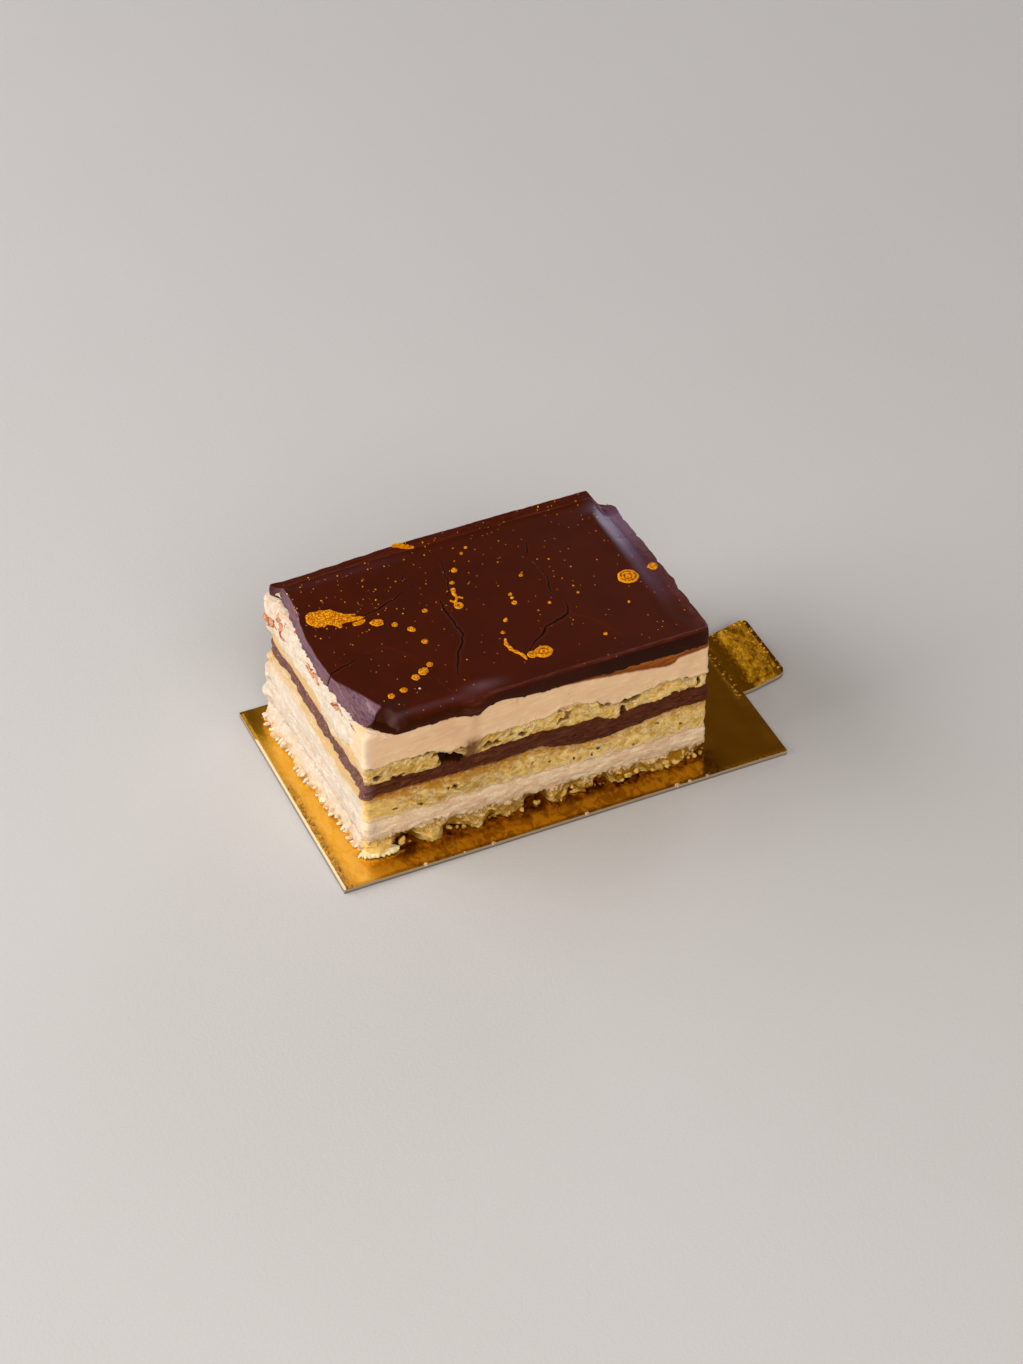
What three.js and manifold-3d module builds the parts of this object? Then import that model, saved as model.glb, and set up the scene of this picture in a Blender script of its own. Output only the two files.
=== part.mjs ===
// A slice of opera cake on its gilt portion card.
//
// Seven layers stand on a thin card with a pull tab: three of almond sponge, two of coffee
// buttercream, one of ganache, and a dark glaze with drops of edible gold. Millimetres, +Z up.
// The origin is the centre of the card's underside, without its tab: +X runs along the slice
// towards the tab, and -Y faces the long cut side.
//
// Every layer is one closed wall of the same columns round the slice, closed by a cap above and
// below. Neighbours share one wavy boundary, so the layers stack with a hair's gap and no overlap.

import * as THREE from 'three';
import { mergeVertices } from 'three/addons/utils/BufferGeometryUtils.js';
import Module from 'manifold-3d';

const wasm = await Module();
wasm.setup();

// ---------------------------------------------------------------- driving dimensions

const CARD_LENGTH = 95;
const CARD_WIDTH = 55;
const CARD_THICKNESS = 1.2;
const CARD_CORNER = 0.5;

const TAB_WIDTH = 18.2;
const TAB_LENGTH = 9.7;
const TAB_RISE = 2.1;
const TAB_CORNER = 1.4;
const TAB_CENTRE_Y = 0.6;
const TAB_OVERLAP = 0.8;

const SLICE_LEFT = -40;
const SLICE_RIGHT = 32.4;
const SLICE_FRONT = -20.8;
const SLICE_BACK = 26.2;
const GLAZE_TOP = 33.2;
const LEFT_SKEW = 1.5; // the left end stands this much further out at the back than at the front

const LAYER_GAP = 0.14;
const CARD_GAP = 0.05;
const LEDGE = 3.5; // how far in from the side a boundary keeps its edge height

const LONG_SIDE_COLUMNS = 41;
const SHORT_SIDE_COLUMNS = 26;
const CORNER_COLUMNS = 3;

const DROP_HEIGHT = 0.25;
const DROP_SIDES = 9;

// Boundaries between the layers, from the card up. left and right are the heights at the two
// ends; a swell is [place, half width, height] along X on the cut front or along Y on the left.
const BOUNDARIES = [
  { left: 4.9, right: 3.4, ripple: 0.22, seed: 1, front: [[-26, 4, 0.5], [27, 3, 0.5]], side: [] },
  { left: 9.7, right: 7.8, ripple: 0.18, seed: 2, front: [[-12, 8, 0.4]], side: [] },
  {
    left: 16.6,
    right: 15.0,
    ripple: 0.15,
    seed: 3,
    front: [[-4, 3, 0.5], [5, 7, -1.7], [14, 6, -1.2]],
    side: [[13, 7, 0.9]],
  },
  {
    left: 19.2,
    right: 18.9,
    ripple: 0.2,
    seed: 4,
    front: [[-27, 3, -0.5], [-6, 6, 0.5], [12.5, 3, -1.6], [20, 3, -0.6]],
    side: [[13, 7, 0.6], [-8, 6, -0.5]],
  },
  {
    left: 23.6,
    right: 22.2,
    ripple: 0.25,
    seed: 5,
    front: [[-21, 4, -1.3], [2.5, 5, 1.6], [13, 3.5, -1.9], [24, 3, 0.6]],
    side: [[8, 8, 0.5]],
  },
  {
    left: 30.6,
    right: 29.4,
    ripple: 0.08,
    seed: 6,
    front: [[-38, 3, 0.5], [-17, 2, -0.7], [-11, 4, 0.8]],
    side: [[16, 9, 0.7]],
  },
];

// Drops of edible gold on the glaze: [x, y, radius].
const GOLD_DROPS = [
  [-34.6, 12.4, 2.7], [-31.2, 10.4, 1.3], [-28.7, 8.2, 0.9], [-25.5, 7.0, 1.4], [-22.6, 5.1, 0.7],
  [-20.2, 2.5, 1.0], [-19.3, -1.8, 0.65], [-15.7, 6.5, 0.6], [-21.1, -8.3, 0.7], [-23.0, -9.6, 1.1],
  [-25.0, -10.6, 0.8], [-28.5, -13.0, 0.75], [-31.3, -13.6, 0.75], [-5.6, 15.3, 0.75],
  [-7.5, 12.0, 0.5], [-8.3, 9.5, 0.5], [-9.1, 5.2, 1.0], [1.1, 1.6, 0.55], [-2.6, -2.4, 0.6],
  [-4.6, -5.6, 0.45], [-5.3, -8.4, 0.6], [-5.3, -10.6, 0.6], [-4.4, -12.2, 0.6],
  [-2.3, -13.8, 0.9], [0.2, -13.8, 1.8], [24.7, -0.3, 2.1], [5.7, 8.6, 0.5], [13.2, -14.0, 0.45],
];

// Torn holes in the upper sponge on the front: [x, half width, depth, share of its height].
const SPONGE_HOLES = [
  [-37.5, 1.2, 1.2, 0.2],
  [-22.4, 2.6, 2.6, 0.2],
  [-14.0, 1.2, 1.2, 0.1],
  [-7.0, 1.0, 1.2, 0.1],
  [2.4, 1.8, 1.6, 0.4],
  [15.8, 2.2, 1.3, 0.8],
  [31.0, 1.2, 1.8, 0.1],
];

// ---------------------------------------------------------------- small helpers

const clamp01 = (t) => Math.min(1, Math.max(0, t));
const mix = (a, b, t) => a + (b - a) * t;

function smooth(from, to, value) {
  const t = clamp01((value - from) / (to - from));
  return t * t * (3 - 2 * t);
}

function bell(value, centre, halfWidth) {
  const t = (value - centre) / halfWidth;
  return Math.exp(-t * t);
}

// A repeatable ripple between about -1 and 1, from four sines with no common period.
function wave(u, v, seed) {
  const p = seed * 1.618;
  return (
    0.4 * Math.sin(0.61 * u + 0.33 * v + p) +
    0.3 * Math.sin(1.27 * u - 0.71 * v + 2.3 * p) +
    0.2 * Math.sin(2.13 * u + 1.19 * v + 3.7 * p) +
    0.1 * Math.sin(3.31 * u - 1.93 * v + 5.1 * p)
  );
}

// ---------------------------------------------------------------- the columns round the slice

// The corners, from front left round to back left, each with the rounding that a layer gives it.
function columns(cornerRadii) {
  const corners = [
    { x: SLICE_LEFT, y: SLICE_FRONT, inX: 1, inY: 1, from: Math.PI },
    { x: SLICE_RIGHT, y: SLICE_FRONT, inX: -1, inY: 1, from: -Math.PI / 2 },
    { x: SLICE_RIGHT, y: SLICE_BACK, inX: -1, inY: -1, from: 0 },
    { x: SLICE_LEFT, y: SLICE_BACK, inX: 1, inY: -1, from: Math.PI / 2 },
  ];
  const ends = corners.map((corner, k) => {
    const radius = cornerRadii[k];
    const centre = { x: corner.x + corner.inX * radius, y: corner.y + corner.inY * radius };
    const at = (angle) => ({
      x: centre.x + radius * Math.cos(angle),
      y: centre.y + radius * Math.sin(angle),
      nx: Math.cos(angle),
      ny: Math.sin(angle),
    });
    return { at, from: corner.from };
  });
  const list = [];
  ends.forEach((end, k) => {
    for (let j = 1; j <= CORNER_COLUMNS; j += 1) {
      const angle = end.from + (j * Math.PI) / 2 / (CORNER_COLUMNS + 1);
      list.push(end.at(angle));
    }
    const start = end.at(end.from + Math.PI / 2);
    const stop = ends[(k + 1) % 4].at(end.from + Math.PI / 2);
    const count = k % 2 === 0 ? LONG_SIDE_COLUMNS : SHORT_SIDE_COLUMNS;
    for (let j = 0; j < count; j += 1) {
      const t = j / (count - 1);
      list.push({
        x: mix(start.x, stop.x, t),
        y: mix(start.y, stop.y, t),
        nx: start.nx,
        ny: start.ny,
      });
    }
  });
  let run = 0;
  list.forEach((column, k) => {
    const previous = list[Math.max(0, k - 1)];
    run += Math.hypot(column.x - previous.x, column.y - previous.y);
    column.run = run;
  });
  return list;
}

// A column moved towards the middle of the slice, which keeps the corners' shape.
function moved(column, inset) {
  const middleX = (SLICE_LEFT + SLICE_RIGHT) / 2;
  const middleY = (SLICE_FRONT + SLICE_BACK) / 2;
  const halfX = (SLICE_RIGHT - SLICE_LEFT) / 2;
  const halfY = (SLICE_BACK - SLICE_FRONT) / 2;
  return {
    x: middleX + ((column.x - middleX) * (halfX - inset)) / halfX,
    y: middleY + ((column.y - middleY) * (halfY - inset)) / halfY,
  };
}

function boundaryHeight(boundary, column) {
  const along = (column.x - SLICE_LEFT) / (SLICE_RIGHT - SLICE_LEFT);
  const nearFront = smooth(SLICE_FRONT + 10, SLICE_FRONT + 2, column.y);
  const nearLeft = smooth(SLICE_LEFT + 10, SLICE_LEFT + 2, column.x);
  let z = mix(boundary.left, boundary.right, along);
  z += boundary.ripple * wave(0.45 * column.x, 0.45 * column.y, boundary.seed);
  boundary.front.forEach(([place, halfWidth, height]) => {
    z += height * nearFront * bell(column.x, place, halfWidth);
  });
  boundary.side.forEach(([place, halfWidth, height]) => {
    z += height * nearLeft * bell(column.y, place, halfWidth);
  });
  return z;
}

// ---------------------------------------------------------------- walls and caps

// A closed body from rings of points, the first at the bottom, with the last of each end closed
// to its middle point. Rings run anticlockwise seen from above.
function bodyFromRings(rings, bottomMiddle, topMiddle) {
  const count = rings[0].length;
  const positions = rings.flat().flatMap((p) => [p.x, p.y, p.z]);
  positions.push(bottomMiddle.x, bottomMiddle.y, bottomMiddle.z, topMiddle.x, topMiddle.y, topMiddle.z);
  const bottomIndex = rings.length * count;
  const lastRing = (rings.length - 1) * count;
  const triangles = [];
  for (let c = 0; c < count; c += 1) {
    const next = (c + 1) % count;
    for (let r = 0; r < rings.length - 1; r += 1) {
      const low = r * count;
      const high = low + count;
      triangles.push(low + c, low + next, high + next, low + c, high + next, high + c);
    }
    triangles.push(bottomIndex, next, c, bottomIndex + 1, lastRing + c, lastRing + next);
  }
  const geometry = new THREE.BufferGeometry();
  geometry.setAttribute('position', new THREE.Float32BufferAttribute(positions, 3));
  geometry.setIndex(triangles);
  return geometry;
}

function middleOf(z) {
  return { x: (SLICE_LEFT + SLICE_RIGHT) / 2, y: (SLICE_FRONT + SLICE_BACK) / 2, z };
}

function mean(values) {
  return values.reduce((sum, value) => sum + value, 0) / values.length;
}

// A layer between two boundaries. outward gives how far each point of the wall stands out from
// the column, from the column and its share of the layer's height.
function layerGeometry({ bottomOf, topOf, radii, rows, outward }) {
  const around = columns(radii);
  const low = around.map(bottomOf);
  const high = around.map(topOf);
  const ringAt = (heights, inset) =>
    around.map((column, k) => ({ ...moved(column, inset), z: heights[k] }));
  const rings = [ringAt(low, LEDGE)];
  for (let r = 0; r < rows; r += 1) {
    const share = r / (rows - 1);
    rings.push(
      around.map((column, k) => {
        const out = outward(column, share);
        return {
          x: column.x + column.nx * out,
          y: column.y + column.ny * out,
          z: mix(low[k], high[k], share),
        };
      }),
    );
  }
  rings.push(ringAt(high, LEDGE));
  return bodyFromRings(rings, middleOf(mean(low)), middleOf(mean(high)));
}

const onBoundary = (index, offset) => (column) => boundaryHeight(BOUNDARIES[index], column) + offset;
const onCard = () => CARD_THICKNESS + CARD_GAP;
const SQUARE_CORNERS = [1.4, 0.9, 0.9, 1.2];

const leftness = (column) => smooth(SLICE_LEFT + 2.5, SLICE_LEFT, column.x);

// How torn a side is: the left end was broken off, the other sides were cut with a knife.
function tornness(column) {
  return 1 + 1.2 * leftness(column) * smooth(-18, -12, column.y);
}

// The left end isn't square to the cut front.
function skew(column) {
  return LEFT_SKEW * leftness(column) * clamp01((column.y - SLICE_FRONT) / (SLICE_BACK - SLICE_FRONT));
}

// ---------------------------------------------------------------- the layers

function spongeBottom() {
  // Ragged and crumbling, with clumps that stand out over the card and gaps between them.
  const outward = (column, share) => {
    const clumps = wave(1.1 * column.run, 2.2 * share, 11);
    const foot = 0.5 * (1 - share) * wave(2.0 * column.run, 0, 17);
    return skew(column) - 0.35 + 0.85 * clumps + foot;
  };
  return layerGeometry({
    bottomOf: onCard,
    topOf: onBoundary(0, -LAYER_GAP / 2),
    radii: SQUARE_CORNERS,
    rows: 4,
    outward,
  });
}

function buttercreamBottom() {
  const outward = (column, share) => {
    const bulge = (0.35 + 0.4 * leftness(column)) * Math.sin(Math.PI * share);
    return skew(column) + bulge + 0.2 * tornness(column) * wave(0.9 * column.run, 3 * share, 21);
  };
  return layerGeometry({
    bottomOf: onBoundary(0, LAYER_GAP / 2),
    topOf: onBoundary(1, -LAYER_GAP / 2),
    radii: SQUARE_CORNERS,
    rows: 4,
    outward,
  });
}

function spongeMiddle() {
  const outward = (column, share) =>
    skew(column) * (1 - 0.4 * share) + 0.3 * tornness(column) * wave(1.1 * column.run, 4 * share, 31);
  return layerGeometry({
    bottomOf: onBoundary(1, LAYER_GAP / 2),
    topOf: onBoundary(2, -LAYER_GAP / 2),
    radii: SQUARE_CORNERS,
    rows: 4,
    outward,
  });
}

function ganache() {
  // Dragged to a small beak at the near corner, and set back under the torn left end.
  const outward = (column, share) => {
    const beak = 1.0 * bell(column.x, SLICE_LEFT, 2.2) * bell(column.y, SLICE_FRONT, 2.2) * (1 - 0.6 * share);
    const setBack = -0.7 * smooth(SLICE_LEFT + 2, SLICE_LEFT, column.x) * smooth(-16, -6, column.y);
    return 0.5 * skew(column) + 0.15 + beak + setBack + 0.2 * wave(0.8 * column.run, 3 * share, 41);
  };
  return layerGeometry({
    bottomOf: onBoundary(2, LAYER_GAP / 2),
    topOf: onBoundary(3, -LAYER_GAP / 2),
    radii: SQUARE_CORNERS,
    rows: 3,
    outward,
  });
}

function spongeTop() {
  // Torn holes open along the front, mostly where the sponge meets the ganache.
  const outward = (column, share) => {
    let hole = 0;
    if (column.y < SLICE_FRONT + 2) {
      SPONGE_HOLES.forEach(([place, halfWidth, depth, height]) => {
        hole += depth * bell(column.x, place, halfWidth) * bell(share, height, 0.45);
      });
    }
    const lean = skew(column) * (0.4 + 0.5 * share);
    return lean - 0.1 - hole + 0.25 * tornness(column) * wave(1.2 * column.run, 4 * share, 51);
  };
  return layerGeometry({
    bottomOf: onBoundary(3, LAYER_GAP / 2),
    topOf: onBoundary(4, -LAYER_GAP / 2),
    radii: SQUARE_CORNERS,
    rows: 4,
    outward,
  });
}

function buttercreamTop() {
  // Smoothed by the knife on the front, torn on the left end.
  const outward = (column, share) => {
    const torn = tornness(column) - 1;
    const smoothed = 0.1 * wave(0.7 * column.run, 2 * share, 61);
    const rough = 0.4 * torn * wave(1.3 * column.run, 5 * share, 67);
    return skew(column) * (0.9 - 0.5 * share * share) + smoothed + rough;
  };
  return layerGeometry({
    bottomOf: onBoundary(4, LAYER_GAP / 2),
    topOf: onBoundary(5, -LAYER_GAP / 2),
    radii: SQUARE_CORNERS,
    rows: 4,
    outward,
  });
}

// The glaze's edge differs all round: a knife-cut slope on the left, a broad rounded near corner,
// a soft roll along the left half of the front and a crisp one beyond it, a wide low roll on the
// right, and a thin raised lip along the back, with a sharp tip on its left and a chip on its right.
function glazeEdge(column) {
  const tip = smooth(SLICE_BACK - 2.2, SLICE_BACK - 0.6, column.y);
  const left = smooth(SLICE_LEFT + 3, SLICE_LEFT, column.x) * (1 - tip);
  const right = smooth(SLICE_RIGHT - 3, SLICE_RIGHT, column.x);
  const front = smooth(SLICE_FRONT + 5, SLICE_FRONT, column.y);
  const back = smooth(SLICE_BACK - 3, SLICE_BACK, column.y);
  const frontLeft = front * smooth(-12, -17, column.x);
  const lump = front * bell(column.x, -17, 2.2);
  const chip = bell(column.x, 31.2, 1.2) * bell(column.y, SLICE_BACK - 1, 2.6);
  const lip = back * smooth(-42, -4, column.x) * smooth(31, 29.4, column.x);
  const slope = Math.max(1.6 * left, 1.0 * frontLeft, 0.3 * right, 0.25);
  const setBack = left * (0.3 + 1.5 * smooth(4, 22, column.y));
  const ends = 0.45 * right * (1 - front) - 0.1 * frontLeft + 0.3 * tip * (1 - right);
  return {
    stand: 0.15 - setBack + ends - 2.8 * chip + 0.4 * lip + 0.5 * lump,
    slope: slope + 1.1 * left * front,
    roll: Math.max(0.5, 2.4 * frontLeft, 4.2 * right * (1 - 0.7 * front), 1.4 * left * front),
    shoulderDrop: Math.max(0.15, 0.9 * frontLeft, 0.95 * right * (1 - 0.8 * front), 0.5 * left * front),
    lip: 0.95 * lip,
    dent: 0.7 * lump,
  };
}

function glazeBody() {
  const around = columns([6.5, 1.6, 1.2, 0.4]);
  const edges = around.map(glazeEdge);
  const low = around.map(onBoundary(5, LAYER_GAP / 2));
  const jitter = around.map((column) => 0.12 * wave(1.1 * column.run, 0, 71));
  const ring = (inset, height) =>
    around.map((column, k) => {
      const depth = inset(edges[k]);
      const out = edges[k].stand + jitter[k];
      const shifted = moved(column, depth);
      return {
        x: shifted.x + column.nx * out,
        y: shifted.y + column.ny * out,
        z: height(edges[k], low[k]),
      };
    });
  const flatRing = (inset, z) => around.map((column) => ({ ...moved(column, inset), z }));
  const shoulder = (edge) => GLAZE_TOP - edge.shoulderDrop + edge.lip - edge.dent;
  const rings = [
    around.map((column, k) => ({ ...moved(column, LEDGE), z: low[k] })),
    ring(() => 0, (edge, bottom) => bottom),
    ring((edge) => 0.35 * edge.slope, (edge, bottom) => mix(bottom, shoulder(edge), 0.6)),
    ring((edge) => edge.slope, shoulder),
    ring(
      (edge) => edge.slope + 0.45 * edge.roll,
      (edge) => GLAZE_TOP - 0.32 * edge.shoulderDrop + edge.lip - 0.5 * edge.dent,
    ),
    ring((edge) => edge.slope + edge.roll + 0.6, (edge) => GLAZE_TOP + 0.25 * edge.lip),
    flatRing(6.5, GLAZE_TOP),
  ];
  return bodyFromRings(rings, middleOf(mean(low)), middleOf(GLAZE_TOP));
}

// ---------------------------------------------------------------- joining with manifold-3d

function toManifold(geometry) {
  const bare = geometry.clone();
  bare.deleteAttribute('normal');
  bare.deleteAttribute('uv');
  const merged = mergeVertices(bare, 1e-4);
  return new wasm.Manifold(
    new wasm.Mesh({
      numProp: 3,
      vertProperties: new Float32Array(merged.attributes.position.array),
      triVerts: new Uint32Array(merged.index.array),
    }),
  );
}

function fromManifold(solid) {
  const mesh = solid.getMesh();
  const geometry = new THREE.BufferGeometry();
  geometry.setAttribute('position', new THREE.Float32BufferAttribute(mesh.vertProperties, 3));
  geometry.setIndex(Array.from(mesh.triVerts));
  return geometry;
}

function glaze() {
  let solid = toManifold(glazeBody());
  GOLD_DROPS.forEach(([x, y, radius]) => {
    const drop = new THREE.CylinderGeometry(0.72 * radius, radius, 2 * DROP_HEIGHT, DROP_SIDES);
    drop.rotateX(Math.PI / 2);
    drop.translate(x, y, GLAZE_TOP);
    solid = solid.add(toManifold(drop));
  });
  return fromManifold(solid);
}

// ---------------------------------------------------------------- the card

function cardPlate() {
  const halfLength = CARD_LENGTH / 2;
  const halfWidth = CARD_WIDTH / 2;
  const outline = new THREE.Shape();
  outline.moveTo(-halfLength + CARD_CORNER, -halfWidth);
  outline.lineTo(halfLength - CARD_CORNER, -halfWidth);
  outline.lineTo(halfLength, -halfWidth + CARD_CORNER);
  outline.lineTo(halfLength, halfWidth - CARD_CORNER);
  outline.lineTo(halfLength - CARD_CORNER, halfWidth);
  outline.lineTo(-halfLength + CARD_CORNER, halfWidth);
  outline.lineTo(-halfLength, halfWidth - CARD_CORNER);
  outline.lineTo(-halfLength, -halfWidth + CARD_CORNER);
  return new THREE.ExtrudeGeometry(outline, { depth: CARD_THICKNESS, bevelEnabled: false });
}

// The tab is a strip of stations along X, each as wide as its rounded end allows. It bends up in
// its first third and then runs straight.
function cardTab() {
  const start = CARD_LENGTH / 2 - TAB_OVERLAP;
  const stations = [0, TAB_OVERLAP, 1.6, 2.6, 4.2, 6.4];
  const end = TAB_OVERLAP + TAB_LENGTH;
  const cornerSteps = 4;
  for (let k = 0; k <= cornerSteps; k += 1) {
    stations.push(end - TAB_CORNER * (1 - Math.sin((k * Math.PI) / 2 / cornerSteps)));
  }
  const lift = (along) => {
    const run = Math.max(0, along - TAB_OVERLAP);
    const bendEnd = TAB_LENGTH / 3;
    const straightSlope = TAB_RISE / (TAB_LENGTH - bendEnd / 2);
    return run < bendEnd ? (straightSlope * run * run) / (2 * bendEnd) : straightSlope * (run - bendEnd / 2);
  };
  const halfWidthAt = (along) => {
    const reach = Math.max(0, along - (end - TAB_CORNER));
    const narrowing = TAB_CORNER - Math.sqrt(Math.max(0, TAB_CORNER ** 2 - reach ** 2));
    return TAB_WIDTH / 2 - narrowing;
  };
  const rings = stations.map((along) => {
    const half = halfWidthAt(along);
    const z = lift(along);
    const x = start + along;
    return [
      { x, y: TAB_CENTRE_Y - half, z },
      { x, y: TAB_CENTRE_Y + half, z },
      { x, y: TAB_CENTRE_Y + half, z: z + CARD_THICKNESS },
      { x, y: TAB_CENTRE_Y - half, z: z + CARD_THICKNESS },
    ];
  });
  const middle = (ring) => ({ x: ring[0].x, y: TAB_CENTRE_Y, z: ring[0].z + CARD_THICKNESS / 2 });
  return bodyFromRings(rings, middle(rings[0]), middle(rings[rings.length - 1]));
}

function goldCard() {
  return fromManifold(toManifold(cardPlate()).add(toManifold(cardTab())));
}

// ---------------------------------------------------------------- the slice

function piece(name, geometry, color, roughness, metalness = 0) {
  const mesh = new THREE.Mesh(geometry, new THREE.MeshStandardMaterial({ color, roughness, metalness }));
  mesh.name = name;
  return mesh;
}

const group = new THREE.Group();
group.add(piece('gold_card', goldCard(), 0xb57f1d, 0.3, 0.9));
group.add(piece('sponge_bottom', spongeBottom(), 0xc8a55c, 0.9));
group.add(piece('buttercream_bottom', buttercreamBottom(), 0xe3bf98, 0.6));
group.add(piece('sponge_middle', spongeMiddle(), 0xd3ae62, 0.9));
group.add(piece('ganache', ganache(), 0x5a362a, 0.45));
group.add(piece('sponge_top', spongeTop(), 0xd2b67c, 0.9));
group.add(piece('buttercream_top', buttercreamTop(), 0xe0bb93, 0.55));
group.add(piece('glaze', glaze(), 0x3c170e, 0.2));

export default group;
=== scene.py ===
import itertools
import math
import random

import bmesh
import bpy
import numpy as np
from bpy.props import FloatProperty, FloatVectorProperty, IntProperty, PointerProperty
from mathutils import Matrix, Vector


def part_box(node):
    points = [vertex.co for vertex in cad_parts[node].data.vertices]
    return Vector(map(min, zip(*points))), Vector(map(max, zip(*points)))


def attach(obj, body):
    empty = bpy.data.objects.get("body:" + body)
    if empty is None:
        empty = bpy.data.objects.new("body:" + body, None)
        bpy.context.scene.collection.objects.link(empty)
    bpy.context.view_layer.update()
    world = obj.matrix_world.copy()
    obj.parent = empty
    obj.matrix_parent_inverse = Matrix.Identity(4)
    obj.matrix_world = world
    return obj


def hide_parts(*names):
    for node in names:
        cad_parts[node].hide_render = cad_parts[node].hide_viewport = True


bl_info = {
    "name": "Opera Cake Slice",
    "version": (1, 0, 0),
    "blender": (4, 5, 0),
    "location": "View3D > Sidebar > Opera Cake",
    "description": "A slice of opera cake on its gold card, dressed round a packed CAD model",
    "category": "Add Mesh",
}

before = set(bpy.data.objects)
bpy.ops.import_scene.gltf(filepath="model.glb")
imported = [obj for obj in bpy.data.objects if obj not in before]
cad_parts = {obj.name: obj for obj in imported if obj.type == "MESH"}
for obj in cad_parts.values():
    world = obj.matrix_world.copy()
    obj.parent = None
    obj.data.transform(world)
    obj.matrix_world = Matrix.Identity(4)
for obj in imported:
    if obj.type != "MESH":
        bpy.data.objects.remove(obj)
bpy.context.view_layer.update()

MM = 0.001  # sizes are in millimetres, and each finished mesh is scaled to metres

# ---------------------------------------------------------------- driving dimensions

SLICE_LEFT = -40.0
SLICE_RIGHT = 32.4
SLICE_FRONT = -20.8
SLICE_BACK = 26.2
SLICE_LENGTH = SLICE_RIGHT - SLICE_LEFT
SLICE_DEPTH = SLICE_BACK - SLICE_FRONT
MIDDLE_X = (SLICE_LEFT + SLICE_RIGHT) / 2
MIDDLE_Y = (SLICE_FRONT + SLICE_BACK) / 2
GLAZE_TOP = 33.2
LEFT_SKEW = 1.5  # the left end stands this much further out at the back than at the front
LEDGE = 3.5  # how far in from the side a boundary keeps its edge height
SQUARE_CORNERS = (0.8, 0.8, 0.9, 1.0)  # near left, near right, far right, far left
GLAZE_CORNERS = (6.5, 1.6, 1.2, 0.4)

CARD_LOW, CARD_HIGH = (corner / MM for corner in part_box("gold_card"))
CARD_LEFT = CARD_LOW.x
CARD_RIGHT = -CARD_LEFT
CARD_FRONT = CARD_LOW.y
CARD_BACK = CARD_HIGH.y
CARD_THICKNESS = 1.2
TAB_END = CARD_HIGH.x
TAB_RISE = CARD_HIGH.z - CARD_THICKNESS
TAB_CENTRE_Y = 0.6
TAB_WIDTH = 18.2
TAB_CORNER = 1.4

# Boundaries between the layers, from the card up: the heights at the left and the right end, how
# uneven the boundary is, how ragged it is at the side, then its swells on the cut front and on
# the left end. A swell is (place, half width, height), along X on the front and Y on the left.
BOUNDARIES = (
    (4.9, 3.4, 0.22, 0.4, ((-26, 4, 0.5), (27, 3, 0.5)), ()),
    (9.7, 7.8, 0.18, 0.28, ((-12, 8, 0.4),), ()),
    (16.6, 15.0, 0.15, 0.12, ((-4, 3, 0.5), (5, 7, -1.7), (14, 6, -1.2)), ((13, 7, 0.9),)),
    (19.2, 18.9, 0.2, 0.22, ((-27, 3, -0.5), (-6, 6, 0.5), (12.5, 3, -1.6), (20, 3, -0.6)),
     ((13, 7, 0.6), (-8, 6, -0.5))),
    (23.6, 22.2, 0.25, 0.42, ((-21, 4, -1.3), (2.5, 5, 1.6), (13, 3.5, -1.9), (24, 3, 0.6)),
     ((8, 8, 0.5),)),
    (30.6, 29.4, 0.08, 0.06, ((-38, 3, 0.5), (-17, 2, -0.7), (-11, 4, 0.8)), ((16, 9, 0.7),)),
)

# How far the crumbling foot stands out over the card: (place, reach) along the front and the left.
FOOT_FRONT = (
    (-40, 0.9), (-38, 1.4), (-35.4, 1.2), (-34.2, -0.6), (-33, -2.6), (-30.6, -2.4), (-29, 0.5),
    (-27, 2.1), (-25, 1.5), (-23.6, -0.8), (-22, -1.2), (-20, 0.3), (-17.5, 1.6), (-15.5, 0.8),
    (-13.6, -0.3), (-11.5, 0.9), (-9, 1.1), (-7, 0.1), (-5.4, -2.2), (-2.7, -2.4), (-1.8, 1.1),
    (-0.5, 1.7), (0.8, 0.8), (2.5, -0.6), (4.2, -0.9), (6, 0.5), (7.6, 0.9), (9.2, -1.9),
    (10.8, -1.6), (11.6, 0.8), (13.5, 1.4), (16, 0.9), (19, 1.1), (22, 1.8), (25, 1.3),
    (28, 0.8), (30, 0.3), (31.2, -0.8), (32.4, -1.2),
)
FOOT_LEFT = (
    (-20.8, 0.8), (-14, 0.4), (-8, 0.8), (-2, 1.1), (4, 1.5), (8, 2.0), (12, 1.0), (16, 1.5),
    (20, 1.9), (24, 1.3), (26.2, 0.8),
)

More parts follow.
